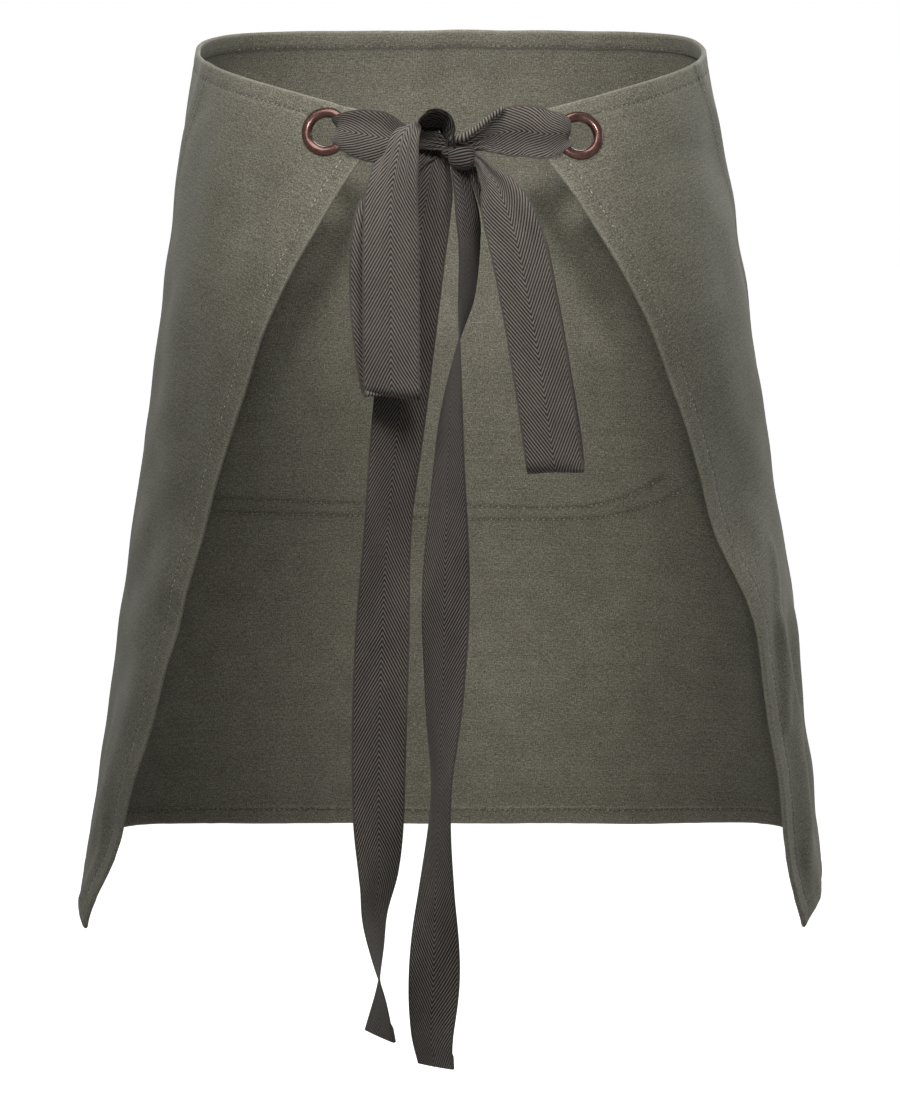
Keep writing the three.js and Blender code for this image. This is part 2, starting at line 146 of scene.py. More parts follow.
def colourRamp(tree, factor, stops):
    ramp = addNode(tree, "ShaderNodeValToRGB", {"Fac": factor})
    while len(ramp.color_ramp.elements) < len(stops):
        ramp.color_ramp.elements.new(0.5)
    for element, (place, colour) in zip(ramp.color_ramp.elements, stops):
        element.position = place
        element.color = (*colour, 1)
    return ramp.outputs["Color"]


def noiseAt(tree, place, scale, detail):
    inputs = {"Vector": place, "Scale": scale, "Detail": detail}
    return addNode(tree, "ShaderNodeTexNoise", inputs).outputs["Fac"]


# Noise stretched to a grain of so many millimetres each way, centred on zero
def grain(tree, flat, across, along, detail, seed):
    inputs = {
        "Vector": flat, "Scale": (1 / (across * mm), 1 / (along * mm), 1), "Location": (seed, seed * 1.7, 0),
    }
    place = addNode(tree, "ShaderNodeMapping", inputs).outputs[0]
    return mathNode(tree, "SUBTRACT", noiseAt(tree, place, 1, detail), 0.5)


def mapRange(tree, value, low, high, toLow=0.0, toHigh=1.0):
    inputs = {"Value": value, "From Min": low, "From Max": high, "To Min": toLow, "To Max": toHigh}
    return addNode(tree, "ShaderNodeMapRange", inputs).outputs[0]


def waveAlong(tree, place, pitch):
    return mathNode(tree, "SINE", mathNode(tree, "MULTIPLY", place, 2 * math.pi / (pitch * mm)))


def weightedSum(tree, start, *terms):
    total = start
    for value, weight in terms:
        total = mathNode(tree, "MULTIPLY_ADD", value, weight, total)
    return total


# Colour by tone, relief by height with its strength and depth, and the finish that is the same all over
def finishShader(tree, shader, look, tone, height):
    strength, depth = look["bump"]
    bump = addNode(tree, "ShaderNodeBump", {"Height": height, "Strength": strength, "Distance": depth * mm})
    colour = colourRamp(tree, tone, look["stops"])
    setInputs(tree, shader, {"Base Color": colour, "Normal": bump.outputs[0], **look["finish"]})


# Washed canvas: plain weave with slubs, mottled by washing, paler where edges are rubbed, and darker along
# the sewing as painted shade
canvasLook = {
    "stops": [(0.0, (0.040, 0.0375, 0.0265)), (0.5, (0.123, 0.1155, 0.0870)), (1.0, (0.250, 0.236, 0.186))],
    "yarn": 0.62,
    "weave": (0.06, 0.35),      # share in the tone, share in the relief
    # weight of the vertex tone: rubbed edges, and painted shade along the sewing
    "wearAndPaintedShading": 0.16,
    "bump": (0.5, 0.35),
    "finish": {
        "Roughness": 0.92, "Specular IOR Level": 0.2, "Sheen Weight": 0.22, "Sheen Roughness": 0.55,
        "Sheen Tint": (0.82, 0.84, 0.76, 1),
    },
}
# across, along, detail, seed, share in the tone, share in the relief
canvasGrains = [
    (0.7, 2.6, 2, 3, 0.62, 0.9),    # warp
    (3.4, 0.7, 2, 9, 0.80, 0.9),    # weft
    (0.8, 0.8, 2, 21, 1.7, 0),      # speckle
    (70, 1.5, 1, 5, 0.22, 0.5),     # slubs
    (16, 19, 4, 13, 0.28, 0),       # washing
    (90, 110, 2, 17, 0.2, 0),       # fading
]


def canvasMaterial():
    look = canvasLook
    material, tree, shader = newMaterial("washed canvas")
    flat = addNode(tree, "ShaderNodeUVMap", uv_map="flat").outputs[0]
    axes = addNode(tree, "ShaderNodeSeparateXYZ", {"Vector": flat}).outputs
    over = waveAlong(tree, axes[0], 2 * look["yarn"])
    under = waveAlong(tree, axes[1], 2 * look["yarn"])
    weave = mathNode(tree, "MULTIPLY", over, under)
    # This tone holds the rubbed, paler edges and the painted shade along the sewing
    wearAndPaintedShading = addNode(tree, "ShaderNodeAttribute", attribute_name="wearAndPaintedShading").outputs["Fac"]
    tones = [(weave, look["weave"][0]), (wearAndPaintedShading, look["wearAndPaintedShading"])]
    heights = [(weave, look["weave"][1])]
    for across, along, detail, seed, toneShare, heightShare in canvasGrains:
        noise = grain(tree, flat, across, along, detail, seed)
        tones.append((noise, toneShare))
        if heightShare:
            heights.append((noise, heightShare))
    finishShader(tree, shader, look, weightedSum(tree, 0.5, *tones), weightedSum(tree, 0.5, *heights))
    return material


# Herringbone tape: twill ribs that meet at the middle line, with a plain woven edge; a tone a vertex adds
# painted light and shade
tapeLook = {
    "stops": [(0.0, (0.0080, 0.0070, 0.0062)), (0.5, (0.104, 0.090, 0.078)), (1.0, (0.262, 0.228, 0.200))],
    "rib": (3.2, 1.8),          # pitch, slant
    "ribSteep": 2.0,            # flattens the ribs and the grooves between them
    "wander": 0.5,
    "yarn": (1.1, -0.8),
    "selvedge": (14.6, 15.1),   # where the ribs end, from the middle line
    "bump": (0.7, 0.5),
    "finish": {
        "Roughness": 0.86, "Specular IOR Level": 0.25, "Sheen Weight": 0.15, "Sheen Roughness": 0.5,
        "Sheen Tint": (0.85, 0.82, 0.78, 1),
    },
}


def tapeMaterial():
    look = tapeLook
    material, tree, shader = newMaterial("herringbone tape")
    flat = addNode(tree, "ShaderNodeUVMap", uv_map="flat").outputs[0]
    axes = addNode(tree, "ShaderNodeSeparateXYZ", {"Vector": flat}).outputs
    side = mathNode(tree, "ABSOLUTE", axes[0])
    ribPitch, ribSlant = look["rib"]
    ribPlace = mathNode(tree, "MULTIPLY_ADD", side, ribSlant, axes[1])
    wander = grain(tree, flat, 5, 14, 2, 4)
    ribPlace = mathNode(tree, "MULTIPLY_ADD", wander, look["wander"] * mm, ribPlace)
    rib = mathNode(tree, "MULTIPLY", waveAlong(tree, ribPlace, ribPitch), look["ribSteep"])
    rib = mathNode(tree, "MINIMUM", mathNode(tree, "MAXIMUM", rib, -1.0), 1.0)
    yarnPitch, yarnSlant = look["yarn"]
    yarn = waveAlong(tree, mathNode(tree, "MULTIPLY_ADD", side, yarnSlant, axes[1]), yarnPitch)
    start, end = look["selvedge"]
    edge = mapRange(tree, side, start * mm, end * mm)
    ribIn = mathNode(tree, "MULTIPLY", rib, mathNode(tree, "SUBTRACT", 1.0, edge))
    speckle = grain(tree, flat, 0.7, 1.6, 2, 8)
    wash = grain(tree, flat, 11, 26, 3, 2)
    # The vertex tone here is painted light and shade: loops lighter, tails and knot darker, the arch's inside
    # in shade
    wearAndPaintedShading = addNode(tree, "ShaderNodeAttribute", attribute_name="wearAndPaintedShading").outputs["Fac"]
    tone = weightedSum(
        tree, 0.5, (ribIn, 0.40), (yarn, 0.05), (speckle, 0.5), (wash, 0.26), (edge, -0.05), (wearAndPaintedShading, 1.0),
    )
    height = weightedSum(tree, 0.5, (ribIn, 0.4), (yarn, 0.1), (speckle, 0.5))
    finishShader(tree, shader, look, tone, height)
    return material


# Sewing thread, its tone uneven along the stitches
def threadMaterial(name, dark, pale):
    material, tree, shader = newMaterial(name)
    place = addNode(tree, "ShaderNodeTexCoord").outputs["Object"]
    colour = colourRamp(tree, noiseAt(tree, place, 420, 2), [(0.38, dark), (0.62, pale)])
    setInputs(tree, shader, {"Base Color": colour, "Roughness": 0.75, "Sheen Weight": 0.2})
    return material


# Antique copper: brown plating rubbed bright, with dull patches
copperLook = {
    "stops": [(0.3, (0.070, 0.034, 0.027)), (0.5, (0.110, 0.056, 0.046)), (0.72, (0.17, 0.096, 0.080))],
    "patina": 260,
    "smear": 70,
    "rough": (0.22, 0.32),
    "bump": (0.05, 0.2),
    "finish": {"Metallic": 0.75},
}


def copperMaterial():
    look = copperLook
    material, tree, shader = newMaterial("antique copper")
    place = addNode(tree, "ShaderNodeTexCoord").outputs["Object"]
    patina = noiseAt(tree, place, look["patina"], 5)
    smear = noiseAt(tree, place, look["smear"], 3)
    setInputs(tree, shader, {"Roughness": mapRange(tree, patina, 0.3, 0.7, *look["rough"])})
    finishShader(tree, shader, look, weightedSum(tree, 0.1, (patina, 0.4), (smear, 0.4)), patina)
    return material


canvas = canvasMaterial()
tapeTwill = tapeMaterial()
thread = threadMaterial("cotton thread", (0.040, 0.038, 0.031), (0.27, 0.26, 0.225))
paleThread = threadMaterial("pale thread", (0.12, 0.115, 0.09), (0.44, 0.43, 0.36))
# The tape's stitches sit in small pits; this thread is made dark to stand for their shade, so its colour is
# partly painted shade
tapeThread = threadMaterial("thread dark as painted pit shade", (0.012, 0.011, 0.010), (0.075, 0.068, 0.06))
copper = copperMaterial()
print("materials: canvas, tape, thread, copper")

# Wrapped cloth: across runs along the top edge from the front centre, down runs along the cloth
apronCloth = {
    "width": 730.0,
    "height": 500.0,
    "thickness": 1.2,
    "hemWidth": 10.8,
    "hemBulk": 1.8,          # the turned layers, inside
    "stitchIn": 9.2,         # hem stitching from the edge
    "frontTop": 8.0,
    "steepness": 0.985,
    "rimDrop": (45.0, 2.3),  # depth and power of the top edge's fall to the back corners
    "hemDrop": (25.0, 8.0),
    "rimLift": (3.0, 140.0, 60.0),   # height, place and reach of the edges' slight rise beside the front
    "hemLift": (6.5, 225.0, 65.0),
    "backSquare": 2.3,
    "seamAcross": 240.0,     # upright side seams
    "seamLap": 10.0,
    "seamStitchIn": 2.0,
    "seamRaise": 0.55,
    "rippleSeed": 11,
    "rippleCount": 26,
    "rippleHeight": 0.16,
    "pucker": 0.16,
    "sewnDip": (0.3, 0.8),   # depth and width of the groove that a row of stitches draws in
    # Painted shade: the sewn lines are drawn darker, as if their grooves were in shade
    "sewShade": 2.3,         # darkening along sewn lines
    "bandRaise": 0.7,        # the doubled band between the two inside rows
    "bandEnds": ((-178, -160), (128, 150)),
    "edgeRub": (1.8, 1.8),   # how pale the edges are, and how far in
}
puckerWaves = [(2.3, 0.0, 1.0), (3.7, 1.3, 0.8), (1.45, 0.6, 0.7)]    # run, phase, share
# down, left, right, front, middle, left back, right back, square
clothSections = np.array([
    (0, 148, 149, 87, 9, 112, 112, 2.5),
    (50, 155, 158, 100, 6, 124, 126, 2.5),
    (120, 164, 170, 110, -1, 138, 138, 2.5),
    (220, 177, 185, 116, -2, 145, 146, 2.7),
    (340, 195, 203, 118, -2, 145, 158, 3.0),
    (430, 208, 213, 119, -2, 166, 154, 3.3),
    (500, 219, 222, 120, -6, 205, 148, 3.5),
], float)
# across, down, wide, tall, lean, out
clothFolds = [
    (352, 238, 34, 30, 0, -5),
    (358, 300, 30, 26, 0, 5),
    (338, 395, 12, 60, 0.05, 4),
    (318, 405, 11, 70, 0.05, -4),
    (356, 462, 16, 34, 0, -6),
    (262, 60, 34, 24, -0.2, -3),
    (-352, 292, 22, 20, 0, 3),
    (-354, 450, 18, 26, 0, -4),
    (-356, 500, 18, 28, 0, 1.5),
    (-300, 380, 24, 110, 0.1, -4),
    (-150, 400, 42, 120, 0.12, 4),
    (170, 420, 40, 110, -0.1, 3),
    (20, 440, 60, 90, 0, -3),
]
# Finer dents that the rubbed and handled cloth shows
clothDents = [
    (-246, 26, 12, 12, 0.3, -1.4),
    (-228, 44, 9, 26, 0, 0.9),
    (232, 40, 10, 26, 0, 0.9),
    (280, 44, 30, 9, 0, -1.3),
    (300, 62, 26, 9, 0.1, 1.1),
    (330, 140, 20, 34, 0.1, 1.2),
    (-330, 150, 18, 44, -0.1, -1.2),
    (-318, 240, 16, 50, 0.1, 1.1),
    (346, 268, 10, 9, 0.3, -1.6),
    (350, 330, 10, 16, 0, -1.2),
    (-356, 312, 8, 12, 0, -1.1),
    (300, 350, 10, 50, 0.05, 1.6),
    (-338, 420, 9, 50, 0.1, 1.7),
]
# Soft creases in the back flaps: points (across, down), width and height
clothCreases = [
    ([(322, 278), (330, 294), (339, 308), (342, 332), (345, 356), (350, 378)], 4.5, 1.8),
    ([(341, 318), (338, 336), (338, 356), (330, 378), (326, 404)], 4.5, 1.5),
    ([(335, 412), (336, 448), (346, 476)], 6.0, 1.2),
    ([(318, 330), (314, 380), (312, 440)], 8.0, -1.2),
    ([(-345, 440), (-350, 468), (-347, 492)], 5.0, 1.3),
]
# Two rows of sewing across the inside front, with the corner turned up on the right: across, down
seamLower = [
    (-176, 287), (-147, 296), (-90, 301), (-6, 305), (60, 305), (93, 303), (115, 297), (134, 289), (150, 278),
    (158, 264),
]
seamUpper = [
    (-174, 278), (-147, 287), (-90, 293), (-6, 297), (60, 298), (86, 296), (104, 291), (121, 283), (136, 271),
]

eyeletRing = {
    "left": (-339.0, 16.0),     # across and down of each middle
    "right": (341.0, 17.8),
    "outer": 13.9,
    "inner": 8.4,
    "barrel": 9.4,
    "dome": 2.95,
    "seat": 0.66,               # foot of the dome
    "washer": [(12.4, -0.72), (12.7, -1.1), (12.3, -1.5), (9.2, -1.6), (8.5, -1.4)],    # reach and height
    "hemEnd": (13.4, 16.5),     # where the hem's layers thin out round the ring
    "flatInside": 16.0,
    "flatOutside": 34.0,
    "segments": 72,
}

halfWidth = apronCloth["width"] / 2
clothHeight = apronCloth["height"]
arcSteps = 220


def sectionValue(column, down):
    return float(smoothAlong(clothSections[:, 0], clothSections[:, column], down))


def halfSection(down, side):
    width = sectionValue(1 if side < 0 else 2, down)
    middle = sectionValue(4, down)
    front = sectionValue(3, down) - middle
    back = sectionValue(5 if side < 0 else 6, down)
    square = sectionValue(7, down)
    backSquare = apronCloth["backSquare"]
    angle = np.linspace(0, math.pi / 2, arcSteps + 1)
    s, c = np.sin(angle), np.cos(angle)
    ahead = ((s / width) ** square + (c / front) ** square) ** (-1 / square)
    behind = ((c / width) ** backSquare + (s / back) ** backSquare) ** (-1 / backSquare)
    x = np.concatenate([ahead * s, (behind * c)[1:]])
    y = np.concatenate([middle + ahead * c, middle - (behind * s)[1:]])
    return side * x, y, runAlong(np.stack([x, y], -1))


def wrapPoints(across, down):
    x = np.empty(across.shape)
    y = np.empty(across.shape)
    for level in np.unique(down):
        for side in (-1, 1):
            here = (down == level) & ((across < 0) if side < 0 else (across >= 0))
            if here.any():
                sectionX, sectionY, run = halfSection(level, side)
                x[here] = np.interp(np.abs(across[here]), run, sectionX)
                y[here] = np.interp(np.abs(across[here]), run, sectionY)
    share = np.abs(across) / halfWidth
    low = down / clothHeight
    rim = apronCloth["rimDrop"][0] * share ** apronCloth["rimDrop"][1] * (1 - low)
    hem = apronCloth["hemDrop"][0] * share ** apronCloth["hemDrop"][1] * low
    z = apronCloth["frontTop"] - apronCloth["steepness"] * down - rim - hem
    lifts = ((apronCloth["rimLift"], (1 - low) ** 5), (apronCloth["hemLift"], low ** 4))
    for (height, place, reach), fade in lifts:
        z = z + height * np.exp(-((np.abs(across) - place) / reach) ** 2) * fade
    return np.stack([x, y, z], -1)


def surfaceNormals(surface, across, down, reach=0.5):
    right = surface(np.minimum(across + reach, halfWidth), down)
    left = surface(np.maximum(across - reach, -halfWidth), down)
    low = surface(across, np.minimum(down + reach, clothHeight))
    high = surface(across, np.maximum(down - reach, 0))
    return unit(np.cross(right - left, low - high))


def bumpsAt(rows, across, down):
    height = np.zeros(np.shape(across))
    for middle, level, wide, tall, lean, out in rows:
        a = (across - middle - lean * (down - level)) / wide
        b = (down - level) / tall
        height += out * np.exp(-a * a - b * b)
    return height


def creaseHeight(across, down):
    height = np.zeros(np.shape(across))
    for points, width, out in clothCreases:
        nearest = np.full(np.shape(across), 1e3)
        for (a0, d0), (a1, d1) in zip(points, points[1:]):
            along = ((across - a0) * (a1 - a0) + (down - d0) * (d1 - d0)) / ((a1 - a0) ** 2 + (d1 - d0) ** 2)
            along = np.clip(along, 0, 1)
            reach = np.hypot(across - a0 - along * (a1 - a0), down - d0 - along * (d1 - d0))
            nearest = np.minimum(nearest, reach)
        height += out * np.exp(-(nearest / width) ** 2)
    return height


# Gentle unevenness of washed cloth, from plane waves with fixed phases
rippleDraw = np.random.default_rng(apronCloth["rippleSeed"])
rippleWaves = [
    (
        2 * math.pi / rippleDraw.uniform(38, 130),
        rippleDraw.uniform(0, math.pi),
        rippleDraw.uniform(0, 2 * math.pi),
    )
    for _ in range(apronCloth["rippleCount"])
]


def clothRipple(across, down):
    height = np.zeros(np.shape(across))
    for rate, heading, phase in rippleWaves:
        height += np.sin(rate * (across * math.cos(heading) + down * math.sin(heading)) + phase)
    return apronCloth["rippleHeight"] * height


def edgeDistance(across, down):
    return np.minimum(np.minimum(down, clothHeight - down), halfWidth - np.abs(across))


# Slight gathers where the hem is sewn
def hemPucker(across, down):
    along = np.where(np.minimum(down, clothHeight - down) < halfWidth - np.abs(across), across, down + 900)
    wave = sum(share * np.sin(along / run + phase) for run, phase, share in puckerWaves)
    fade = np.exp(-((edgeDistance(across, down) - 7) / 7) ** 2)
    return apronCloth["pucker"] * wave * fade


def eyeletFrame(side):
    across, down = (np.array([value]) for value in eyeletRing["left" if side < 0 else "right"])
    middle = wrapPoints(across, down)[0]
    out = surfaceNormals(wrapPoints, across, down)[0]
    along = unit(np.cross(out, (0, 0, 1)))
    along = -along if along[0] * side > 0 else along
    return {"across": across[0], "down": down[0], "middle": middle, "out": out, "along": along}


eyelets = {"left": eyeletFrame(-1), "right": eyeletFrame(1)}


def eyeletReach(across, down):
    return np.minimum(*(np.hypot(across - e["across"], down - e["down"]) for e in eyelets.values()))


def clothPoints(across, down):
    points = wrapPoints(across, down)
    normals = surfaceNormals(wrapPoints, across, down)
    lift = bumpsAt(clothFolds, across, down) + bumpsAt(clothDents, across, down)
    lift = lift + creaseHeight(across, down) + clothRipple(across, down) + hemPucker(across, down)
    points = points + normals * lift[..., None]
    for eyelet in eyelets.values():
        distance = np.hypot(across - eyelet["across"], down - eyelet["down"])
        flat = 1 - smoothStep(distance, eyeletRing["flatInside"], eyeletRing["flatOutside"])
        rise = (points - eyelet["middle"]) @ eyelet["out"]
        points = points - (rise * flat)[..., None] * eyelet["out"]
    return points


def seamDistance(rows, across, down):
    table = np.array(rows, float)
    level = np.interp(across, table[:, 0], table[:, 1], left=-1e3, right=-1e3)
    return np.abs(down - level)


def groove(distance, width):
    return np.exp(-(distance / width) ** 2)


def sewnRows(across, down, width):
    return sum(groove(seamDistance(rows, across, down), width) for rows in (seamLower, seamUpper))


def bandBetweenRows(across, down):
    low, high = (np.interp(across, *np.array(rows, float).T) for rows in (seamLower, seamUpper))
    return within(across, *apronCloth["bandEnds"]) * within(down, (high - 9, high), (low + 0.6, low + 3.4))


# How far the outer and inner faces stand from the middle of the cloth
def faceOffsets(across, down):
    edge = edgeDistance(across, down)
    half = apronCloth["thickness"] / 2
    hem = 1 - smoothStep(edge, apronCloth["hemWidth"] - 0.5, apronCloth["hemWidth"] + 0.4)
    hem = hem * smoothStep(eyeletReach(across, down), *eyeletRing["hemEnd"])
    dip, width = apronCloth["sewnDip"]
    sewn = dip * groove(edge - apronCloth["stitchIn"], width)
    seam = np.abs(across)
    seamAt = apronCloth["seamAcross"]
    lapAt = seamAt - apronCloth["seamLap"]
    lap = within(seam, (lapAt - 1, lapAt), (seamAt - 0.4, seamAt + 0.6))
    raised = apronCloth["seamRaise"] * lap - dip * groove(seam - seamAt + apronCloth["seamStitchIn"], width)
    rows = sewnRows(across, down, 1.2)
    outer = half - sewn + raised - 0.25 * rows
    inner = half + hem * apronCloth["hemBulk"] - sewn + 0.5 * raised - 0.35 * rows
    inner = inner + apronCloth["bandRaise"] * bandBetweenRows(across, down)
    return outer, inner


# The cloth's grid: close lines at edges, side seams, eyelets and inside rows, as places or (start, end, step)
clothMesh = {
    "insets": [1.5, 2.6, 4.5, 6.5, 8.5, 9.2, 9.9, 10.7, 11.3, 12.6],
    "seam": [-11.2, -10.4, -9.4, -3.2, -2.0, -0.9, 0.2, 1.2],
    "eyeletAcross": (326, halfWidth - 13, 2.2),
    "eyeletDown": (14.2, 30, 2.2),
    "insideRows": (284, 312, 1.25),
    "front": (-170, 171, 5.2),
    "back": (174, halfWidth - 2, 3.4),
    "down": (2, clothHeight - 2, 3.9),
    "clear": 1.0,
    "roundSteps": 6,         # across the folded edge
}


def mergeStations(special, plain):
    special = sorted(special)
    kept = [p for p in plain if min(abs(p - s) for s in special) > clothMesh["clear"]]
    return np.array(sorted(special + kept))


def clothGrid():
    insets = clothMesh["insets"]
    half = [halfWidth - inset for inset in insets] + [apronCloth["seamAcross"] + a for a in clothMesh["seam"]]
    half += list(np.arange(*clothMesh["eyeletAcross"]))
    plain = list(np.arange(*clothMesh["front"]))
    for side in (-1, 1):
        plain += list(side * np.arange(*clothMesh["back"]))
    columns = mergeStations(half + [-a for a in half], plain)
    levels = insets + [clothHeight - inset for inset in insets]
    levels += list(np.arange(*clothMesh["eyeletDown"])) + list(np.arange(*clothMesh["insideRows"]))
    rows = mergeStations(levels, np.arange(*clothMesh["down"]))
    return np.meshgrid(columns, rows)


def borderLoop(rowCount, columnCount):
    at = np.arange(rowCount * columnCount).reshape(rowCount, columnCount)
    return np.concatenate([at[0, :-1], at[:-1, -1], at[-1, :0:-1], at[:0:-1, 0]])


# Paler where it is rubbed; darker along the sewing as painted shade of the stitch grooves, less so at the
# side hems' pale thread
def clothWearAndShade(across, down):
    edge = edgeDistance(across, down)
    pale, reach = apronCloth["edgeRub"]
    rub = pale * np.exp(-edge / reach) + 0.5 * groove(edge - apronCloth["hemWidth"], 0.7)
    beside = smoothStep(halfWidth - np.abs(across), 20, 12)
    hemSewnShade = (1 - 0.75 * beside) * groove(edge - apronCloth["stitchIn"], 0.5)
    return rub - apronCloth["sewShade"] * (hemSewnShade + 0.8 * sewnRows(across, down, 0.9))


def makeCloth():
    across, down = clothGrid()
    rowCount, columnCount = across.shape
    cells = gridCells(rowCount, columnCount)
    across, down = across.ravel(), down.ravel()
    hole = eyeletRing["barrel"] + 0.4
    cut = eyeletReach(across[cells].mean(1), down[cells].mean(1)) < hole + 0.3
    rim = np.intersect1d(cells[cut].ravel(), cells[~cut].ravel())
    pull = hole / eyeletReach(across[rim], down[rim])
    onLeft = across[rim] < 0
    for values, k in ((across, "across"), (down, "down")):
        middle = np.where(onLeft, eyelets["left"][k], eyelets["right"][k])
        values[rim] = middle + (values[rim] - middle) * pull
    cells = cells[~cut]
    points = clothPoints(across, down)
    normals = surfaceNormals(clothPoints, across, down)
    outer, inner = faceOffsets(across, down)
    count = len(points)
    faces = cells.tolist() + (cells[:, ::-1] + count).tolist()
    outside = points + normals * outer[:, None]
    inside = points - normals * inner[:, None]
    # the holes' edges
    edges = {}
    for cell in cells.tolist():
        edges.update(dict.fromkeys(zip(cell, cell[1:] + cell[:1])))
    holeEdge = set(rim.tolist())
    for a, b in edges:
        if (b, a) not in edges and a in holeEdge and b in holeEdge:
            faces.append((b, a, a + count, b + count))
    # the folded edge all round, as part of a circle from face to face
    border = borderLoop(rowCount, columnCount)
    atSide = np.isclose(np.abs(across[border]), np.abs(across).max())
    atTop = np.isclose(down[border], down.min())
    atFoot = np.isclose(down[border], down.max())
    upright = atFoot.astype(float) - atTop.astype(float)
    edgeWay = unit(np.stack([np.where(atSide, np.sign(across[border]), 0), upright], -1))
    step = 0.8
    inward = clothPoints(across[border] - step * edgeWay[:, 0], down[border] - step * edgeWay[:, 1])
    away = unit(points[border] - inward)
    middle = (outside[border] + inside[border]) / 2
    reach = (outside[border] - inside[border]) / 2
    size = np.linalg.norm(reach, axis=1)
    flat = np.stack([across, down], -1)
    rings = [border]
    extra, extraFlat = [], []
    roundSteps = clothMesh["roundSteps"]
    for k in range(1, roundSteps):
        turn = math.pi * k / roundSteps
        extra.append(middle + reach * math.cos(turn) + away * (size * math.sin(turn))[:, None])
        extraFlat.append(flat[border] + edgeWay * (size * turn)[:, None])
        rings.append(2 * count + (k - 1) * len(border) + np.arange(len(border)))
    rings.append(border + count)
    for near, far in zip(rings, rings[1:]):
        for a, b, c, d in zip(near, np.roll(near, -1), np.roll(far, -1), far):
            faces.append((d, c, b, a))
    allPoints = np.concatenate([outside, inside, *extra])
    allFlat = np.concatenate([flat, flat, *extraFlat])
    # rubbed paleness, with painted shade along the sewing; the folded edge is only rubbed
    wornAndShaded = clothWearAndShade(across, down)
    folded = np.full(len(border) * (roundSteps - 1), apronCloth["edgeRub"][0])
    return meshObject("apron_cloth", allPoints, faces, canvas, allFlat, np.concatenate([wornAndShaded, wornAndShaded, folded]))


apronPiece = makeCloth()
print("cloth:", len(apronPiece.data.polygons), "faces")


# Eyelets: domed ring outside, barrel through the cloth, flat washer inside
def makeEyelet(name, eyelet):
    ring = eyeletRing
    reach = (ring["outer"] - ring["inner"]) / 2
    seat = ring["seat"]
    section = [
        (ring["inner"] + reach * (1 - math.cos(t)), seat + (ring["dome"] - seat) * math.sin(t))
        for t in np.linspace(0.02, math.pi - 0.02, 15)
    ]
    section += [(ring["outer"] - 0.3, seat - 0.03), (ring["barrel"], seat - 0.03), (ring["barrel"], -0.7)]
    section = np.array(section + ring["washer"] + [(ring["inner"], -0.8)])
    out = eyelet["out"]
    first = unit(np.cross(out, (0, 0, 1)))
    second = np.cross(out, first)
    turns = np.linspace(0, 2 * math.pi, ring["segments"], endpoint=False)
    spokes = np.cos(turns)[:, None] * first + np.sin(turns)[:, None] * second
    points = eyelet["middle"] + section[None, :, :1] * spokes[:, None, :] + section[None, :, 1:] * out
    rows, columns = ring["segments"], len(section)
    at = np.arange(rows * columns).reshape(rows, columns)
    faces = np.stack([at, np.roll(at, -1, 1), np.roll(np.roll(at, -1, 1), -1, 0), np.roll(at, -1, 0)], -1)
    return meshObject(name, points.reshape(-1, 3), faces.reshape(-1, 4), copper, sharpDegrees=50)


eyeletPieces = {side: makeEyelet("eyelet_ring_" + side, eyelet) for side, eyelet in eyelets.items()}
print("eyelets: 2 copper rings")

# Tapes: each route has x, y, z of the tape's middle, its gathered width and its turn in degrees
tapeSizes = {
    "width": 32.0,
    "thickness": 1.0,
    "edgeThin": (0.45, 10),     # share taken off at the edge, and how steeply
    "steps": 9,                 # rows of the mesh between two rows of a route
    "strips": 48,
    "wobbleRun": 17.0,
    # The two tones along a tape are painted light and shade
    "paintedShadingRun": (30, 110),       # where a tape goes from its first tone to its second
    "hemLength": 9.0,
    "hemBulk": 1.0,
}
# The left loop stands up in an arch, so its rows also have a tilt; the leads lie flat and have no turn
leftLoop = [
    (3, -103, -58, 10, -80, 0), (-1.2, -106, -50, 18, -68, 8), (-1.8, -106.5, -43.6, 22, -70, 24),
    (-3.6, -107, -39.6, 24, -80, 32), (-7.2, -107, -38.4, 26, -90, 35), (-12.7, -106.5, -39.3, 26, -84, 28),
    (-21.2, -107.5, -41, 28, -68, 10), (-26.3, -111, -46.3, 28.5, -54, -6), (-29.3, -115, -60.1, 30, -38, -3),
    (-32.6, -117.5, -81, 31.5, -17, 0), (-33, -119, -110, 32, -5, 0), (-33, -119, -150, 32, 0, 0),
    (-33, -118, -180, 32, 0, -4), (-32.5, -117, -189, 32, 0, -6), (-32.5, -114.5, -191.5, 32, 0, -9),
    (-33.5, -112, -189, 32, 0, -18), (-36, -111, -178, 32, 0, -20), (-40.5, -110.5, -138, 32, 0, -8),
    (-38, -110, -92, 31, 0, 0), (-31, -105, -75, 22, -15, 0), (-21, -96.5, -66, 13, -40, 0),
    (-8, -95, -59, 8, -75, 0),
]
rightLoop = [
    (12.5, -109, -57.5, 6, 0), (17.3, -110.5, -61.5, 7, 0), (21, -111.3, -67, 12, 0),
    (25.5, -112, -73.5, 18.5, 0), (30.5, -113, -85, 28, 0), (37, -113.5, -104.5, 32, 0),
    (44, -113.5, -138, 32, 0), (51, -112.5, -178, 32, 0), (57.5, -110.5, -222, 32, 0),
    (59, -109.5, -232, 32, 0), (60, -107, -235, 32, 0), (60, -104.5, -232, 32, 0),
    (59, -103.5, -221, 32, 0), (52, -103, -178, 32, 0), (45, -103, -139, 32, 0),
    (37.5, -103, -105, 31, 0), (27, -103.5, -84, 22, 0), (13.5, -104, -64, 9, 0),
]
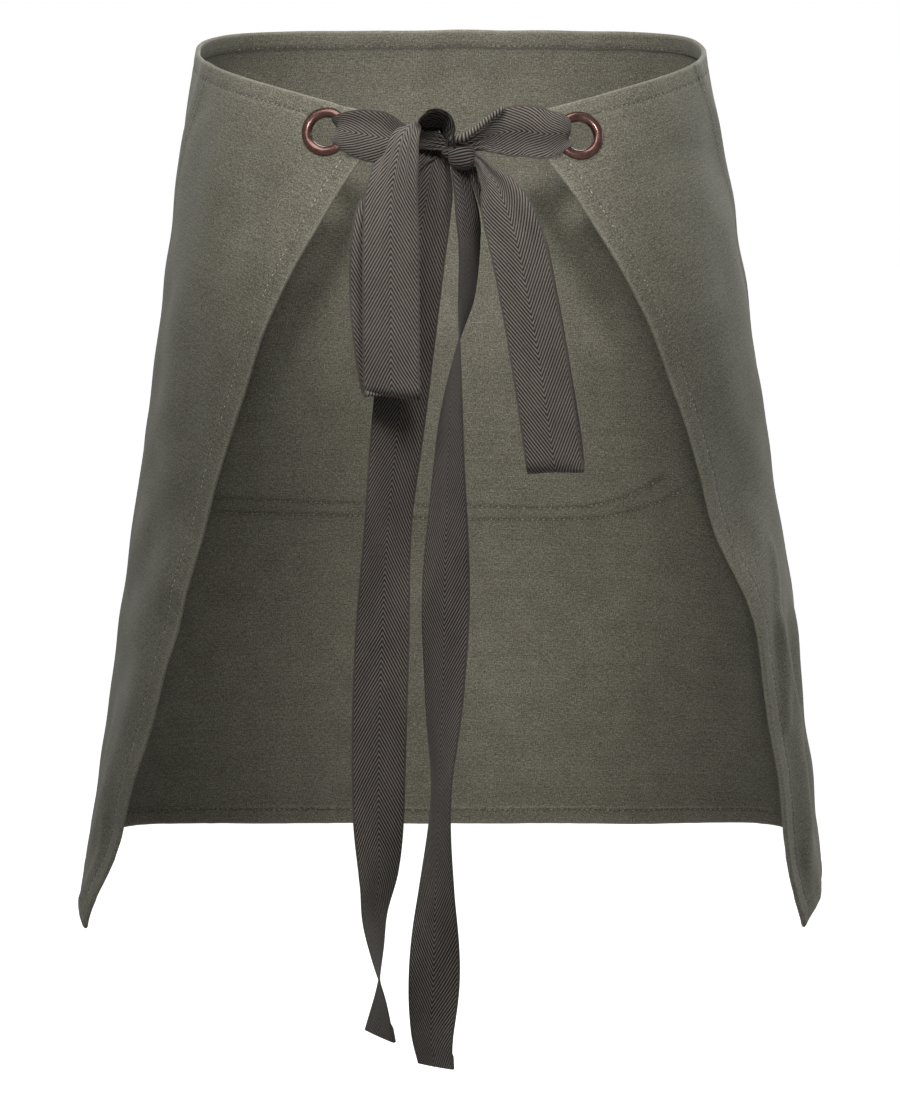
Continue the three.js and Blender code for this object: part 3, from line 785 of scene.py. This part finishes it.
leftTail = [
    (-9, -95.5, -49, 13, 0), (-9.5, -96, -53, 15, 0), (-10.2, -97.5, -58, 19, 0), (-11.5, -99.5, -66, 24, 0),
    (-13, -100, -79, 29, 2), (-17, -98, -104, 32, 5), (-27.5, -97, -194, 32, 15), (-35, -97, -266, 32, 32),
    (-40, -97, -368, 32, 8), (-41, -97, -430, 32, 22), (-41, -97, -472, 32, 47), (-43, -97, -495, 32, 63),
    (-41.4, -97, -518, 32, 79), (-39.8, -97, -540, 32, 100), (-40.8, -97, -566, 32, 124),
]
rightTail = [
    (5, -106, -60, 12, 30), (6, -107, -70, 13, 40), (8, -107, -80, 18, 48), (10, -106.5, -92, 26, 58),
    (11, -106, -106, 32, 67), (9, -106, -139, 32, 75), (5.5, -105, -163, 32, 91), (0.5, -104, -213, 32, 116),
    (-1.5, -103, -275, 32, 138), (-2.5, -103, -318, 32, 147), (-3.5, -102, -368, 32, 133),
    (-5, -102, -420, 32, 110), (-7.5, -101, -478, 32, 129), (-9, -101, -529, 32, 156),
    (-10.5, -100, -566, 32, 140), (-8.5, -100, -583, 32, 130),
]
leftLead = [
    (-39.5, -106.8, -47.6, 29.5), (-34, -105.2, -48.4, 26), (-28, -102, -49, 20),
    (-17.5, -100.5, -49.5, 11), (-9, -102, -49.9, 10), (1, -104, -51.5, 8),
]
rightLead = [
    (42.2, -107, -44, 29), (35, -108.2, -44.2, 28.5), (28, -108.5, -44.8, 26), (22.6, -109, -46.4, 20.6),
    (17.5, -109, -47.8, 15.6), (11.3, -108.5, -50.6, 10), (5, -107, -53, 8),
]
# From the eyelet's middle: along to the bow, out from the cloth, width there and hollow round the ring
throughEyelet = [
    (49, -3.6, 16, 0), (42, -8, 18, 0), (30, -9.2, 19, 0), (16, -6.2, 16, 0), (8.6, -3.6, 12, 2.2),
    (7.0, 0, 11, 2.4), (6.8, 2.6, 13, 1.8), (8.6, 4.8, 18.5, 0.4), (13, 5.6, 23, 0), (21, 3.8, 28, 0),
]


# The slope lowers or lifts the lead on its way from the eyelet
def leadRoute(eyelet, rest, slope):
    start = []
    for along, out, wide, hollow in throughEyelet:
        place = eyelet["middle"] + along * eyelet["along"] + out * eyelet["out"]
        place[2] += slope * max(along - 5, 0)
        start.append((*place, wide, 0, hollow))
    return start + [(*row, 0, 0) for row in rest]


# Centripetal curve through points, with so many steps between two of them
def curveThrough(points, steps):
    points = np.asarray(points, float)
    ends = np.concatenate([[2 * points[0] - points[1]], points, [2 * points[-1] - points[-2]]])
    made = []
    for p0, p1, p2, p3 in zip(ends, ends[1:], ends[2:], ends[3:]):
        d0, d1, d2 = (math.sqrt(np.linalg.norm(b - a)) for a, b in ((p0, p1), (p1, p2), (p2, p3)))
        t1 = ((p1 - p0) / d0 - (p2 - p0) / (d0 + d1) + (p2 - p1) / d1) * d1
        t2 = ((p2 - p1) / d1 - (p3 - p1) / (d1 + d2) + (p3 - p2) / d2) * d1
        for t in np.arange(steps) / steps:
            made.append(p1 * (2 * t ** 3 - 3 * t ** 2 + 1) + t1 * (t ** 3 - 2 * t ** 2 + t)
                        + p2 * (3 * t ** 2 - 2 * t ** 3) + t2 * (t ** 3 - t ** 2))
    made.append(points[-1])
    return np.array(made)


# Tape along its route; what is gathered away goes into folds, each (count, most height), at start and end.
# A count of first stations can take painted shade on their front, for the inside of an arch; tone is painted
# light and shade, from the first value to the second. Returns the mesh data, the length and, for sewing on
# it, the rows of the tape's middle with their normals
def tapeStrip(
    route, folds, way, start, lead=False, cup=0.0, hemmed=False, wobble=0.0, change=(0.4, 0.7),
    tone=(0.0, 0.0), paintedShadeRows=None,
):
    size = tapeSizes
    table = np.array(route, float)
    steps = size["steps"]
    line = curveThrough(table[:, :3], steps)
    station = np.arange(len(table))
    at = np.arange(len(line)) / steps
    tangent = unit(np.gradient(line, axis=0))
    wide = np.minimum(smoothAlong(station, table[:, 3], at), size["width"])
    turn = np.radians(smoothAlong(station, table[:, 4], at))
    zero = np.zeros(len(line))
    tiltOrHollow = smoothAlong(station, table[:, 5], at) if table.shape[1] > 5 else zero
    if lead:
        across = np.stack([zero, np.sin(turn), np.cos(turn)], -1)
    else:
        tilt = np.radians(tiltOrHollow)
        across = np.stack([np.cos(turn) * np.cos(tilt), np.sin(turn) * np.cos(tilt), np.sin(tilt)], -1)
    across = unit(across - (across * tangent).sum(1, keepdims=True) * tangent)
    normal = np.cross(across, tangent)
    length = runAlong(line)
    share = np.linspace(-0.5, 0.5, size["strips"] + 1)
    gathered = np.sqrt(np.maximum(size["width"] / wide - 1, 0))
    later = smoothStep(length, change[0] * length[-1], change[1] * length[-1])
    lift = -cup * (wide / size["width"])[:, None] * (1 - 4 * share ** 2)
    if lead:
        lift = lift + way * tiltOrHollow[:, None] * (4 * share ** 2)
    for (count, most), part in zip(folds, (1 - later, later)):
        height = part * np.minimum(wide / (math.pi * count) * gathered, most)
        lift = lift + height[:, None] * np.sin(2 * math.pi * count * share + 0.4)
    lift = lift + wobble * np.sin(length / size["wobbleRun"])[:, None] * np.sin(2.2 * share + 0.6)
    middle = line[:, None, :] + across[:, None, :] * (wide[:, None] * share)[..., None]
    middle = middle + normal[:, None, :] * lift[..., None]
    faceNormal = unit(np.cross(np.gradient(middle, axis=1), np.gradient(middle, axis=0)))
    thin, power = size["edgeThin"]
    half = size["thickness"] / 2 * (1 - thin * np.abs(2 * share) ** power)
    bulk = np.where(length[-1] - length < size["hemLength"], size["hemBulk"], 0) if hemmed else zero
    face = middle + faceNormal * half[:, None]
    rear = middle - faceNormal * (half + bulk[:, None])[..., None]
    rows, columns = middle.shape[:2]
    flat = np.empty((rows, columns, 2))
    flat[..., 0] = share * size["width"]
    flat[..., 1] = start + (-way if lead else way) * length[:, None]
    wearAndPaintedShading = np.empty((2, rows, columns))
    # painted light and shade along the tape, from its first tone to its second
    wearAndPaintedShading[:] = (tone[0] + (tone[1] - tone[0]) * smoothStep(length, *size["paintedShadingRun"]))[:, None]
    # painted shade on the front of the first stations, the inside of the arch
    if paintedShadeRows:
        wearAndPaintedShading[0, :paintedShadeRows[0] * steps] = paintedShadeRows[1]
    under = rows * columns
    cells = gridCells(rows, columns)
    border = borderLoop(rows, columns)
    ring = np.stack([np.roll(border, -1), border, border + under, np.roll(border, -1) + under], -1)
    faces = np.concatenate([cells, cells[:, ::-1] + under, ring])
    return {
        "points": np.concatenate([face.reshape(-1, 3), rear.reshape(-1, 3)]),
        "faces": faces,
        "flat": np.concatenate([flat.reshape(-1, 2), flat.reshape(-1, 2)]),
        "wearAndPaintedShading": wearAndPaintedShading.ravel(),
        "length": length[-1],
        "middle": middle,
        "normal": faceNormal,
        "run": length,
    }


# Rolled or wound tape: a closed tube along x, y, z and radius, its ribs along it or wound round it
def tapeRoll(route, steps, ribRun, squash=1.0, twist=0.0, creases=0, creaseDepth=0.0, sides=28, tone=0.0):
    table = np.array(route, float)
    line = curveThrough(table[:, :3], steps)
    at = np.arange(len(line)) / steps
    radius = smoothAlong(np.arange(len(table)), table[:, 3], at)
    tangent = unit(np.gradient(line, axis=0))
    first = unit(np.cross(tangent, (0, 1, 0)))
    second = np.cross(tangent, first)
    turn = np.linspace(0, 2 * math.pi, sides + 1)
    run = runAlong(line)
    shape = 1 + creaseDepth * np.cos(creases * turn + 0.12 * run[:, None])
    reach = radius[:, None] * shape
    body = line[:, None, :] + (reach * np.cos(turn))[..., None] * first[:, None, :]
    body = body + squash * (reach * np.sin(turn))[..., None] * second[:, None, :]
    rows, columns = body.shape[:2]
    flat = np.empty((rows, columns, 2))
    flat[..., 0] = 6.0 + 0.2 * run[:, None]
    flat[..., 1] = ribRun * radius.max() * turn + twist * run[:, None]
    tips = np.stack([line[0], line[-1]])
    count = rows * columns
    last = count - columns
    cells = gridCells(rows, columns).tolist()
    cells += [(j + 1, j, count) for j in range(columns - 1)]
    cells += [(last + j, last + j + 1, count + 1) for j in range(columns - 1)]
    return {
        "points": np.concatenate([body.reshape(-1, 3), tips]),
        "faces": cells,
        "flat": np.concatenate([flat.reshape(-1, 2), flat[[0, -1], 0]]),
        # the roll's tone is painted shade, for the knot
        "wearAndPaintedShading": np.full(count + 2, tone),
        "length": 0.0,
    }


def joinStrips(name, strips):
    points, faces, flat, wearAndPaintedShading = [], [], [], []
    count = 0
    for strip in strips:
        points.append(strip["points"])
        faces += [tuple(int(i) + count for i in f) for f in strip["faces"]]
        flat.append(strip["flat"])
        wearAndPaintedShading.append(strip["wearAndPaintedShading"])
        count += len(strip["points"])
    flat, wearAndPaintedShading = np.concatenate(flat), np.concatenate(wearAndPaintedShading)
    return meshObject(name, np.concatenate(points), faces, tapeTwill, flat, wearAndPaintedShading, sharpDegrees=55)


knotMiddle = (0.5, -107.0, -58.0)


# A roll across the knot, from its reach to the right and its radius there
def knotRoute(rows, up=0.0, out=0.0):
    x, y, z = knotMiddle
    return [(x + reach, y + out, z + up, radius) for reach, radius in rows]


# From the eyelet to the knot, gathered close only at its end
def leadStrip(side, rest, slope, way):
    route = leadRoute(eyelets[side], rest, slope)
    return tapeStrip(route, ((1.2, 0.8), (5, 0.7)), way, 3, lead=True, change=(0.84, 0.94))


fineFolds = ((5, 0.6), (5, 0.6))
bundleRows = [(-5, 1.0), (-3, 3.0), (0, 4.0), (4, 4.2)]
wrapRows = [(-1.6, 3.2), (-0.2, 5.8), (2.6, 7.5), (6.4, 8.1), (10.2, 7.6), (12.6, 6.0), (13.8, 3.0)]
rollRoute = [
    (31, -109.5, -31.0, 0.5), (28.3, -112.2, -32.2, 1.4), (22.6, -113.6, -36.2, 1.7),
    (17.5, -114.4, -40.3, 1.8), (11.7, -114.8, -44.6, 1.9), (6.8, -114.2, -47.6, 2.4),
    (1.6, -110.5, -48.4, 2.4),
]
# The loops' and tails' tones are painted light and shade: the loops a little lighter, the left tail lighter
# at its top and darker below
leftStrips = {
    "lead": leadStrip("left", leftLead, -0.1, -1),
    # the loop's first seven stations take painted shade, the inside of its arch
    "loop": tapeStrip(leftLoop, fineFolds, -1, 1, cup=0.7, wobble=0.3, tone=(0.02, 0.02), paintedShadeRows=(7, -0.40)),
    "tail": tapeStrip(leftTail, fineFolds, -1, 2, cup=-0.6, hemmed=True, wobble=0.5, tone=(0.06, -0.05)),
    # the bundle is darkened as painted shade in the knot
    "bundle": tapeRoll(knotRoute(bundleRows, 1.5, 3.5), 6, 1.2, tone=-0.18),
}
# The right tail is darker towards its top as painted shade under the loops
rightStrips = {
    "lead": leadStrip("right", rightLead, 0.03, 1),
    "loop": tapeStrip(rightLoop, ((2, 0.8), (5, 0.6)), 1, 1, cup=0.7, wobble=0.3, tone=(0.03, 0.03)),
    "tail": tapeStrip(
        rightTail, ((7, 0.3), (7, 0.7)), 1, 2, cup=-0.6, hemmed=True, wobble=0.5, tone=(-0.2, -0.11),
    ),
    # the wrap is darkened as painted shade in the knot
    "wrap": tapeRoll(
        knotRoute(wrapRows), 5, 1.7, squash=0.92, creases=5, creaseDepth=0.03, sides=64, tone=-0.2,
    ),
    "roll": tapeRoll(rollRoute, 6, 0.5, twist=1.3, sides=24),
}
leftTie = joinStrips("tape_tie_left", leftStrips.values())
rightTie = joinStrips("tape_tie_right", rightStrips.values())
print("tapes: left", round(sum(s["length"] for s in leftStrips.values())), "mm, right",
      round(sum(s["length"] for s in rightStrips.values())), "mm")

# Stitches: short threads set along sewn lines by geometry nodes
hemStitch = {"spacing": 3.2, "length": 2.2, "width": 0.7, "height": 0.55, "seed": 5}
lineStep = 2.5    # between the points of a sewn line


def stitchTree(name, material, seed):
    tree = bpy.data.node_groups.new(name, "GeometryNodeTree")
    tree.interface.new_socket("Lines", in_out="INPUT", socket_type="NodeSocketGeometry")
    for label in ("Spacing", "Stitch Length", "Thread Width", "Thread Height"):
        tree.interface.new_socket(label, in_out="INPUT", socket_type="NodeSocketFloat")
    tree.interface.new_socket("Stitches", in_out="OUTPUT", socket_type="NodeSocketGeometry")
    given = addNode(tree, "NodeGroupInput").outputs
    line = addNode(tree, "GeometryNodeMeshToCurve", {"Mesh": given["Lines"]})
    places = addNode(
        tree, "GeometryNodeResampleCurve",
        {"Curve": line.outputs[0], "Length": given["Spacing"]}, mode="LENGTH",
    )
    facing = addNode(tree, "GeometryNodeInputNamedAttribute", {"Name": "facing"}, data_type="FLOAT_VECTOR")
    tangent = addNode(tree, "GeometryNodeInputTangent")
    turn = addNode(
        tree, "FunctionNodeAxesToRotation",
        {"Primary Axis": facing.outputs["Attribute"], "Secondary Axis": tangent.outputs[0]},
        primary_axis="Z", secondary_axis="X",
    )
    bead = addNode(tree, "GeometryNodeMeshUVSphere", {"Segments": 6, "Rings": 4, "Radius": 0.5})
    sizes = addNode(
        tree, "ShaderNodeCombineXYZ",
        {"X": given["Stitch Length"], "Y": given["Thread Width"], "Z": given["Thread Height"]},
    )
    stitch = addNode(tree, "GeometryNodeTransform", {"Geometry": bead.outputs[0], "Scale": sizes.outputs[0]})
    vary = addNode(
        tree, "FunctionNodeRandomValue", {0: (0.82, 0.85, 0.7), 1: (1.1, 1.15, 1.15), "Seed": seed},
        data_type="FLOAT_VECTOR",
    )
    sewn = addNode(
        tree, "GeometryNodeInstanceOnPoints",
        {
            "Points": places.outputs[0], "Instance": stitch.outputs[0],
            "Rotation": turn.outputs[0], "Scale": vary.outputs[0],
        },
    )
    real = addNode(tree, "GeometryNodeRealizeInstances", {"Geometry": sewn.outputs[0]})
    smooth = addNode(tree, "GeometryNodeSetShadeSmooth", {"Geometry": real.outputs[0]})
    finish = addNode(tree, "GeometryNodeSetMaterial", {"Geometry": smooth.outputs[0], "Material": material})
    addNode(tree, "NodeGroupOutput", {"Stitches": finish.outputs[0]})
    return tree


# lines is a list of (points, facing) in millimetres
def sewLines(name, lines, sizes, material):
    points, edges, facing = [], [], []
    for line, normals in lines:
        first = len(points)
        points += [tuple(p) for p in np.asarray(line) * mm]
        facing += [tuple(n) for n in normals]
        edges += [(first + i, first + i + 1) for i in range(len(line) - 1)]
    mesh = bpy.data.meshes.new(name + "_lines")
    mesh.from_pydata(points, edges, [])
    held = mesh.attributes.new("facing", "FLOAT_VECTOR", "POINT")
    held.data.foreach_set("vector", np.array(facing, np.float32).ravel())
    lineObject = addObject(name + "_lines", mesh)
    tree = stitchTree(name + "_nodes", material, sizes["seed"])
    modifier = lineObject.modifiers.new("sewing", "NODES")
    modifier.node_group = tree
    sockets = [item for item in tree.interface.items_tree if item.socket_type == "NodeSocketFloat"]
    for socket, label in zip(sockets, ("spacing", "length", "width", "height")):
        modifier[socket.identifier] = sizes[label] * mm
    bpy.context.view_layer.update()
    evaluated = lineObject.evaluated_get(bpy.context.evaluated_depsgraph_get())
    sewnMesh = bpy.data.meshes.new_from_object(evaluated)
    sewnMesh.name = name
    lineObject.modifiers.clear()
    bpy.data.objects.remove(lineObject)
    return addObject(name, sewnMesh)


# Sewn line on the cloth, on its outer or inner face, left out under the eyelets
def clothLine(across, down, outside):
    across, down = np.broadcast_arrays(across, down)
    points = clothPoints(across, down)
    normals = surfaceNormals(clothPoints, across, down)
    outer, inner = faceOffsets(across, down)
    sink = 0.08
    if outside:
        points = points + normals * (outer - sink)[:, None]
    else:
        points = points - normals * (inner - sink)[:, None]
        normals = -normals
    clear = eyeletReach(across, down) > eyeletRing["outer"] + 0.6
    lines, run = [], []
    for i, free in enumerate(clear):
        if free:
            run.append(i)
        if run and (not free or i + 1 == len(clear)):
            if len(run) > 2:
                lines.append((points[run], normals[run]))
            run = []
    return lines


hemTop = apronCloth["stitchIn"]
hemFoot = clothHeight - hemTop
hemSide = halfWidth - hemTop
levelRun = np.arange(-hemSide, hemSide + 0.1, lineStep)
uprightRun = np.arange(hemTop, hemFoot + 0.1, lineStep)


def sideHemLines():
    lines = []
    for outside in (True, False):
        for side in (-1, 1):
            lines += clothLine(side * hemSide, uprightRun, outside)
    return lines


def clothStitchLines():
    seam = apronCloth["seamAcross"] - apronCloth["seamStitchIn"]
    lines = []
    for outside in (True, False):
        lines += clothLine(levelRun, hemTop, outside)
        lines += clothLine(levelRun, hemFoot, outside)
        for side in (-1, 1):
            lines += clothLine(side * seam, uprightRun, outside)
        for rows in (seamLower, seamUpper):
            table = np.array(rows, float)
            run = np.arange(0, len(table) - 1 + 0.01, 0.08)
            across = smoothAlong(np.arange(len(table)), table[:, 0], run)
            down = smoothAlong(np.arange(len(table)), table[:, 1], run)
            lines += clothLine(across, down, outside)
    return lines


# Sewn rows across a tape, on both of its faces, at a run along it
def tapeRows(strip, places, low=0.06, high=0.94):
    lines = []
    for place in places:
        row = int(np.argmin(np.abs(strip["run"] - place)))
        columns = np.arange(int(low * tapeSizes["strips"]), int(high * tapeSizes["strips"]) + 1)
        middle = strip["middle"][row, columns]
        normal = strip["normal"][row, columns]
        reach = tapeSizes["thickness"] / 2 - 0.05
        lines += [(middle + normal * reach, normal), (middle - normal * reach, -normal)]
    return lines


clothStitches = sewLines("hem_stitches", clothStitchLines(), hemStitch, thread)
sideStitches = sewLines("side_stitches", sideHemLines(), hemStitch, paleThread)
tapeStitch = {"spacing": 2.4, "length": 1.7, "width": 0.5, "height": 0.45, "seed": 8}
leftEnd = leftStrips["tail"]["length"]
rightEnd = rightStrips["tail"]["length"]
leadRun = rightStrips["lead"]["length"]
tapeLines = tapeRows(leftStrips["tail"], [leftEnd - tapeSizes["hemLength"] + 1])
tapeLines += tapeRows(rightStrips["tail"], [rightEnd - tapeSizes["hemLength"] + 1])
tapeLines += tapeRows(rightStrips["lead"], [leadRun - 27, leadRun - 24, leadRun - 21], 0.05, 0.62)
tapeStitches = sewLines("tape_stitches", tapeLines, tapeStitch, tapeThread)
print("stitches:", len(clothStitches.data.polygons) + len(tapeStitches.data.polygons), "faces")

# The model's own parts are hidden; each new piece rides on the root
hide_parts("apron_panel", "waist_hem", "bottom_hem", "side_hem_left", "side_hem_right")
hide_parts("eyelet_left")
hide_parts("eyelet_right")
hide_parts("tie_left")
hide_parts("tie_right")
for piece, slot in (
    (apronPiece, "canvas"), (clothStitches, "canvas"), (sideStitches, "canvas"),
    (eyeletPieces["left"], "eyelet"), (eyeletPieces["right"], "eyelet"),
    (leftTie, "tape"), (rightTie, "tape"), (tapeStitches, "tape"),
):
    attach(piece, "root")

# Camera at the photograph's viewing angle, image taken as 900 by 1101
viewSetup = {
    "distance": 2.6,
    "target": (0, 0, -0.296),
    "above": 8.0,
    "focalPixels": 4397.0,
    "imageHeight": 1101,
    "sensor": 36.0,
    "farEnd": 60,
}


def makeCamera():
    above = math.radians(viewSetup["above"])
    back = Vector((0, -math.cos(above), math.sin(above)))
    cameraData = bpy.data.cameras.new("view")
    cameraData.sensor_width = viewSetup["sensor"]
    cameraData.lens = viewSetup["focalPixels"] / viewSetup["imageHeight"] * viewSetup["sensor"]
    cameraData.clip_end = viewSetup["farEnd"]
    camera = addObject("view", cameraData)
    camera.location = Vector(viewSetup["target"]) + back * viewSetup["distance"]
    camera.rotation_euler = (math.pi / 2 - above, 0, 0)
    bpy.context.scene.camera = camera


# White studio: soft lights round the apron and a pale floor below
studio = {
    "floorDown": -1.03,
    "floorSize": 24.0,
    "floorGlow": 0.05,
    "room": 0.05,        # light from the white room on the apron
    "mirrored": 0.35,    # how bright the room is in reflections
}
# place, aim, size, power
studioLights = {
    "upper left": ((-0.35, -0.75, 0.65), (0, 0, -0.2), 0.5, 4.6),
    "overhead": ((0, -0.7, 1.6), (0, 0, -0.25), 1.0, 15.8),
    "left side": ((-1.3, 1.6, 0.3), (0, 0, -0.3), 0.8, 6.0),
    "right side": ((1.5, 0.8, 0.1), (0, 0, -0.3), 0.8, 14.4),
    "far side": ((0.4, 2.4, 0.9), (0, 0, -0.25), 1.4, 36.0),
}
# The same for lights that reach the cloth and rings alone; the spots, with their angle, fill the hollow
clothLights = {
    "front": ((0.05, -2.7, 0.05), (0, 0, -0.25), 0.4, 3.6),
    "inside low": ((0.03, -2.6, -0.1), (0.03, 0.1, -0.40), 0.1, 168, 8),
    "inside middle": ((0.03, -2.6, 0.05), (0.02, 0.1, -0.22), 0.1, 115, 6),
    "inside high": ((0, -2.4, 0.6), (0, 0.1, -0.03), 0.1, 250, 9),
}
# One that reaches the tapes alone
tapeLights = {
    "bow": ((0.1, -0.6, 0.42), (0, -0.1, -0.15), 0.25, 2.45),
}


def makeLight(name, place, target, size, power, angle=None):
    lamp = bpy.data.lights.new(name, "SPOT" if angle else "AREA")
    lamp.energy = power
    if angle:
        lamp.shadow_soft_size = size
        lamp.spot_size = math.radians(angle)
        lamp.spot_blend = 1.0
    else:
        lamp.shape = "DISK"
        lamp.size = size
    light = addObject(name, lamp)
    light.visible_camera = False
    light.location = place
    light.rotation_euler = (Vector(target) - Vector(place)).to_track_quat("-Z", "Y").to_euler()
    return light


# White to the camera, less bright in reflections and dim as a source of light
def seenWhite(tree, dim):
    path = addNode(tree, "ShaderNodeLightPath")
    mirrored = mathNode(tree, "MULTIPLY", path.outputs["Is Glossy Ray"], studio["mirrored"])
    seen = mathNode(tree, "MAXIMUM", path.outputs["Is Camera Ray"], mirrored)
    return mathNode(tree, "MAXIMUM", seen, dim)


def makeStudio():
    bpy.context.scene.view_settings.view_transform = "Standard"
    world = bpy.data.worlds.new("white room")
    world.use_nodes = True
    tree = world.node_tree
    room = {"Color": (1, 1, 1, 1), "Strength": seenWhite(tree, studio["room"])}
    setInputs(tree, tree.nodes["Background"], room)
    bpy.context.scene.world = world
    for name, setup in studioLights.items():
        makeLight(name, *setup)
    cloth = [apronPiece, clothStitches, sideStitches, *eyeletPieces.values()]
    for lights, lit in ((clothLights, cloth), (tapeLights, [leftTie, rightTie, tapeStitches])):
        group = bpy.data.collections.new("lit by " + ", ".join(lights))
        for piece in lit:
            group.objects.link(piece)
        for name, setup in lights.items():
            linking = makeLight(name, *setup).light_linking
            linking.receiver_collection = group
            linking.blocker_collection = group
    half = studio["floorSize"] / 2
    corners = [(x * half, y * half, studio["floorDown"]) for x, y in ((-1, -1), (1, -1), (1, 1), (-1, 1))]
    mesh = bpy.data.meshes.new("floor")
    mesh.from_pydata(corners, [], [(0, 1, 2, 3)])
    material, tree, shader = newMaterial("pale floor")
    paint = {"Base Color": (0.4, 0.4, 0.4, 1), "Roughness": 0.9, "Emission Color": (1, 1, 1, 1)}
    setInputs(tree, shader, {**paint, "Emission Strength": seenWhite(tree, studio["floorGlow"])})
    mesh.materials.append(material)
    floor = addObject("floor", mesh)


makeCamera()
makeStudio()
print("camera and studio set")
